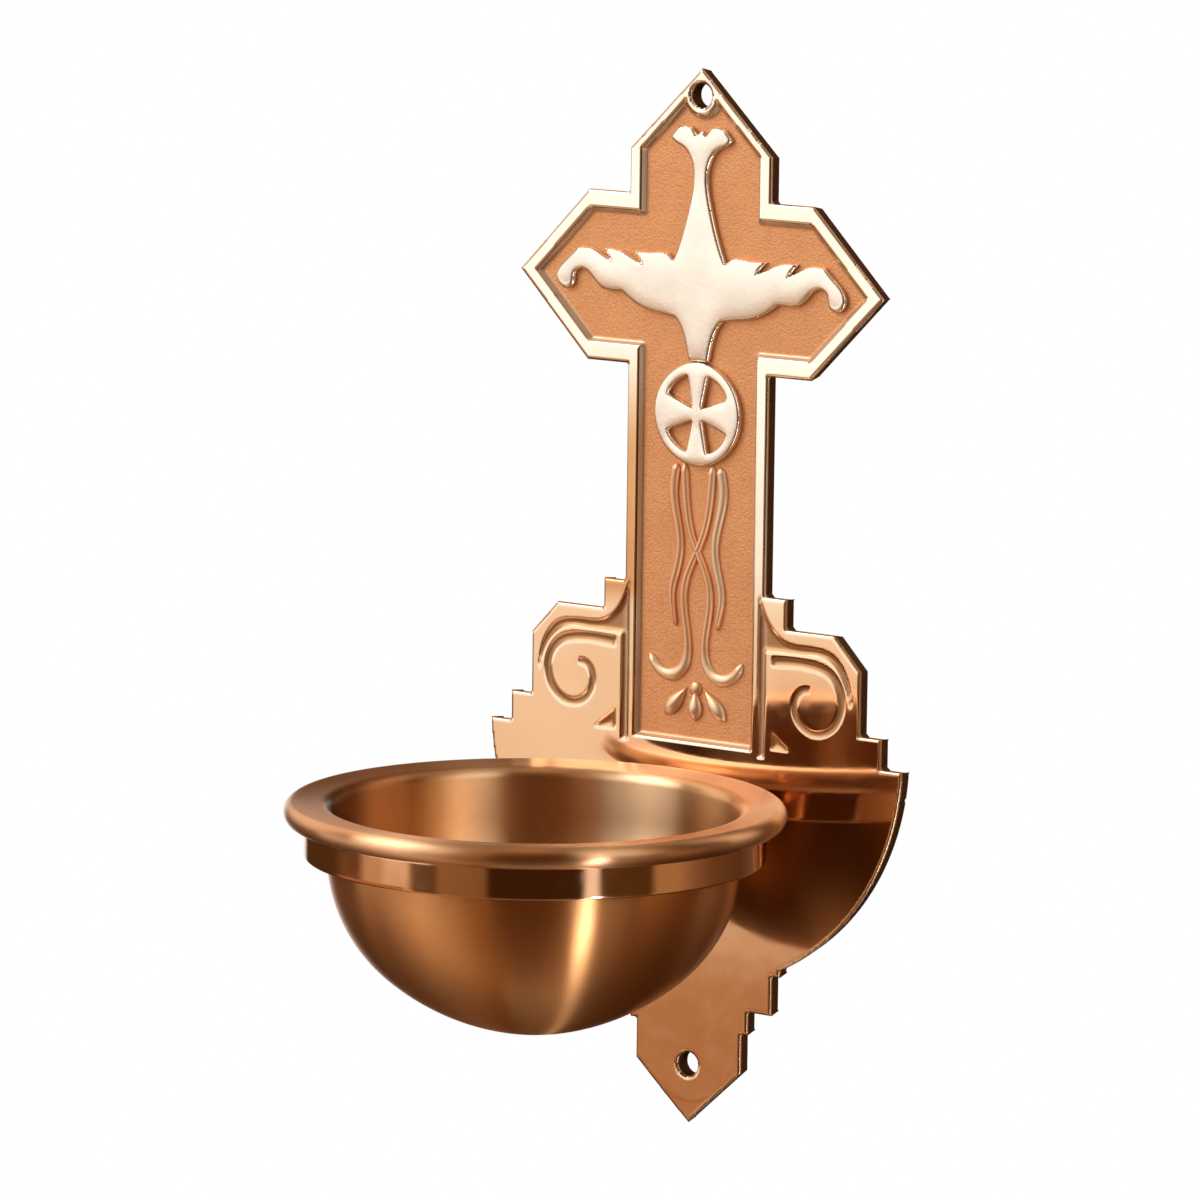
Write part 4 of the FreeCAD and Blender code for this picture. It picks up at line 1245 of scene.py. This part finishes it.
ROOM_ABOVE = (
    (-180, 0.12, 0.06, 0.03), (-150, 0.14, 0.07, 0.035), (-134, 0.44, 0.29, 0.19),
    (-122, 1.10, 0.88, 0.70), (-88, 1.15, 0.92, 0.74), (-76, 0.62, 0.42, 0.27),
    (-64, 0.24, 0.14, 0.075), (-58, 0.30, 0.18, 0.11), (-52, 0.95, 0.82, 0.72),
    (-46, 1.22, 1.20, 1.16), (-10, 1.22, 1.18, 1.10), (0, 0.50, 0.30, 0.19),
    (10, 0.42, 0.25, 0.14), (20, 0.12, 0.06, 0.03), (36, 0.05, 0.022, 0.008),
    (54, 0.05, 0.02, 0.01), (60, 0.90, 0.74, 0.60), (66, 1.22, 1.16, 1.08),
    (84, 1.22, 1.16, 1.08), (94, 0.80, 0.56, 0.38), (104, 0.26, 0.14, 0.07),
    (112, 0.04, 0.018, 0.007), (137, 0.04, 0.018, 0.007), (142, 1.22, 1.00, 0.80),
    (157, 1.22, 1.00, 0.80), (164, 0.26, 0.14, 0.08), (180, 0.12, 0.06, 0.03),
)
ROOM_BELOW = (
    (-180, 0.05, 0.02, 0.008), (-120, 0.05, 0.02, 0.008), (-66, 0.09, 0.04, 0.016),
    (-50, 0.34, 0.20, 0.10), (-38, 0.72, 0.50, 0.32), (-22, 0.66, 0.46, 0.30),
    (-8, 0.29, 0.16, 0.08), (8, 0.20, 0.11, 0.05), (22, 0.13, 0.065, 0.03),
    (46, 0.15, 0.075, 0.035), (62, 0.30, 0.18, 0.10), (78, 0.34, 0.21, 0.12),
    (94, 0.22, 0.12, 0.06), (120, 0.07, 0.03, 0.012), (180, 0.05, 0.02, 0.008),
)

# Patches on the room's walls near the horizon: a colour, the angles where the patch starts, is
# whole, fades and ends, and the heights between which it comes in, or goes out as the first does.
ROOM_PATCHES = (
    ((0.47, 0.20, 0.09), (-84.0, -72.0, -33.0, -31.0), (-14.0, -10.0, 1.0, 0.0)),
    ((0.98, 0.76, 0.58), (-47.0, -41.0, -31.0, -27.0), (-11.8, -10.6)),
    ((1.22, 1.20, 1.16), (-84.0, -72.0, -22.0, -12.0), (-9.6, -7.0)),
)
CEILING = (0.34, 0.27, 0.20)
WARM_CEILING = (0.80, 0.44, 0.22)
FLOOR_PAINT = (0.8, 0.79, 0.77, 1.0)
SENSOR_WIDTH = 36.0

# The broad key lamp: its place, its power and its side.
KEY_PLACE, KEY_POWER, KEY_SIDE = (-1.3, -1.3, 1.5), 17.6, 1.2

# The upright strip lamp at the bowl's right: its bearing, its distance from the bowl's middle, that
# middle taken at the lamp's height, its power, its width and its height.
STRIP_BEARING = math.radians(67)
STRIP_DISTANCE = 1.2
STRIP_AIM = (0, -0.09, -1.05)
STRIP_POWER, STRIP_WIDTH, STRIP_HEIGHT = 4.6, 0.09, 1.3


class STOUP_OT_stage(bpy.types.Operator):
    """Set up the camera, the room's light, the lamps and the floor"""

    bl_idname = "stoup.set_stage"
    bl_label = "Set the stage"

    def execute(self, context):
        """Build everything that isn't part of the object."""
        scene = context.scene
        self.set_camera(scene)
        self.light_room(scene)
        lamp("key_lamp", KEY_PLACE, (0, 0, 0), KEY_POWER, KEY_SIDE, KEY_SIDE)
        across = STRIP_DISTANCE * math.sin(STRIP_BEARING)
        ahead = STRIP_AIM[1] - STRIP_DISTANCE * math.cos(STRIP_BEARING)
        place = (across, ahead, STRIP_AIM[2])
        lamp("strip_lamp", place, STRIP_AIM, STRIP_POWER, STRIP_WIDTH, STRIP_HEIGHT)
        self.lay_floor(scene)
        scene.view_settings.view_transform = "Standard"
        return {"FINISHED"}

    def set_camera(self, scene):
        """Aim a long lens at the object from the right and a little above."""
        stage = scene.stoup_stage
        azimuth, elevation, roll = stage.azimuth, stage.elevation, stage.roll
        level = math.cos(elevation)
        back = Vector((math.sin(azimuth) * level, -math.cos(azimuth) * level, math.sin(elevation)))
        right = Vector((math.cos(azimuth), math.sin(azimuth), 0))
        above = back.cross(right)
        turned_right = right * math.cos(roll) - above * math.sin(roll)
        turned_above = right * math.sin(roll) + above * math.cos(roll)
        data = bpy.data.cameras.new("camera")
        data.lens = stage.lens
        data.sensor_width = SENSOR_WIDTH
        data.clip_start, data.clip_end = 0.05, 50.0
        camera = bpy.data.objects.new("camera", data)
        turned = Matrix((turned_right, turned_above, back)).transposed().to_4x4()
        place = Vector(stage.aim) + back * stage.distance
        camera.matrix_world = Matrix.Translation(place) @ turned
        scene.collection.objects.link(camera)
        scene.camera = camera

    def light_room(self, scene):
        """A soft room: white behind the object, warm and darker in front of it and overhead.

        Three colour bands run round it, and the height above the horizon picks between them.
        """
        world = bpy.data.worlds.new("room")
        scene.world = world
        world.use_nodes = True
        recipe = Recipe(world.node_tree)
        across, back, up = recipe.axes(recipe.add("ShaderNodeTexCoord").out("Generated"))
        turn = across.maths("ARCTAN2", across, back * -1.0) / (2 * math.pi) + 0.5
        rise = across.maths("ARCSINE", up) * (180 / math.pi)
        level, above, below = (
            recipe.add(
                "ShaderNodeValToRGB",
                {"stops": [((row[0] + 180) / 360, row[1:]) for row in band]},
                {0: turn},
            )
            for band in (ROOM_LEVEL, ROOM_ABOVE, ROOM_BELOW)
        )
        degrees = {0: (turn - 0.5) * 360.0, 1: -180.0, 2: 180.0}
        around = recipe.add("ShaderNodeClamp", None, degrees)
        for patch, turns, heights in ROOM_PATCHES:
            level = recipe.mix(around.band(*turns) * rise.step(*heights), level, patch)
        shade = recipe.mix(rise.step(1.0, 9.0), level, above)
        overhead = recipe.mix(around.band(-2.0, 12.0, 52.0, 62.0), CEILING, WARM_CEILING)
        shade = recipe.mix(rise.step(44.0, 70.0), shade, overhead)
        shade = recipe.mix(rise.fall(-28.0, -16.0), shade, below)
        backdrop = recipe.add("ShaderNodeBackground", None, {0: shade, 1: 1.0})
        recipe.add("ShaderNodeOutputWorld", None, {"Surface": backdrop})

    def lay_floor(self, scene):
        """A round pale floor, well below the object."""
        stage = scene.stoup_stage
        edge = arc((0, 0), stage.floor_radius, 0, 360, 97)[:-1]
        points = np.column_stack([edge, np.full(len(edge), -stage.floor)])
        mesh = bpy.data.meshes.new("floor")
        mesh.from_pydata(points.tolist(), [], [list(range(len(points)))])
        material = bpy.data.materials.new("floor_paint")
        material.use_nodes = True
        recipe = Recipe(material.node_tree)
        paint = {"Base Color": FLOOR_PAINT, "Roughness": 0.9}
        surface = recipe.add("ShaderNodeBsdfPrincipled", None, paint)
        recipe.add("ShaderNodeOutputMaterial", None, {"Surface": surface})
        mesh.materials.append(material)
        floor = bpy.data.objects.new("floor", mesh)
        scene.collection.objects.link(floor)


# ------------------------------------------------------------------ panel and registration


STEPS = (
    STOUP_OT_stage,
    STOUP_OT_plate,
    STOUP_OT_fittings,
    STOUP_OT_ring,
    STOUP_OT_bowl,
    STOUP_OT_dove,
    STOUP_OT_ring_cross,
    STOUP_OT_ribbons,
    STOUP_OT_palmette,
)
SETTINGS = (
    ("stoup_bowl", StoupBowlSizes),
    ("stoup_plate", StoupPlateSizes),
    ("stoup_relief", StoupReliefSizes),
    ("stoup_colours", StoupColours),
    ("stoup_stage", StoupStage),
)


class STOUP_PT_panel(bpy.types.Panel):
    """The stoup's steps and sizes"""

    bl_idname = "STOUP_PT_panel"
    bl_label = "Holy water stoup"
    bl_space_type = "VIEW_3D"
    bl_region_type = "UI"
    bl_category = "Stoup"

    def draw(self, context):
        """List the steps, then every setting."""
        layout = self.layout
        for step in STEPS:
            layout.operator(step.bl_idname)
        for name, _ in SETTINGS:
            group = getattr(context.scene, name)
            box = layout.box()
            for key in group.__annotations__:
                box.prop(group, key)


def register():
    """Register the settings, the steps and the panel."""
    for name, group in SETTINGS:
        bpy.utils.register_class(group)
        setattr(bpy.types.Scene, name, PointerProperty(type=group))
    for step in (*STEPS, STOUP_PT_panel):
        bpy.utils.register_class(step)


def unregister():
    """Take everything back out."""
    for step in (STOUP_PT_panel, *reversed(STEPS)):
        bpy.utils.unregister_class(step)
    for name, group in reversed(SETTINGS):
        delattr(bpy.types.Scene, name)
        bpy.utils.unregister_class(group)


def main():
    """Take every step in order."""
    register()
    for step in STEPS:
        group, name = step.bl_idname.split(".")
        if getattr(getattr(bpy.ops, group), name)() != {"FINISHED"}:
            raise RuntimeError(f"{step.bl_label} did not finish")


if __name__ == "__main__":
    main()
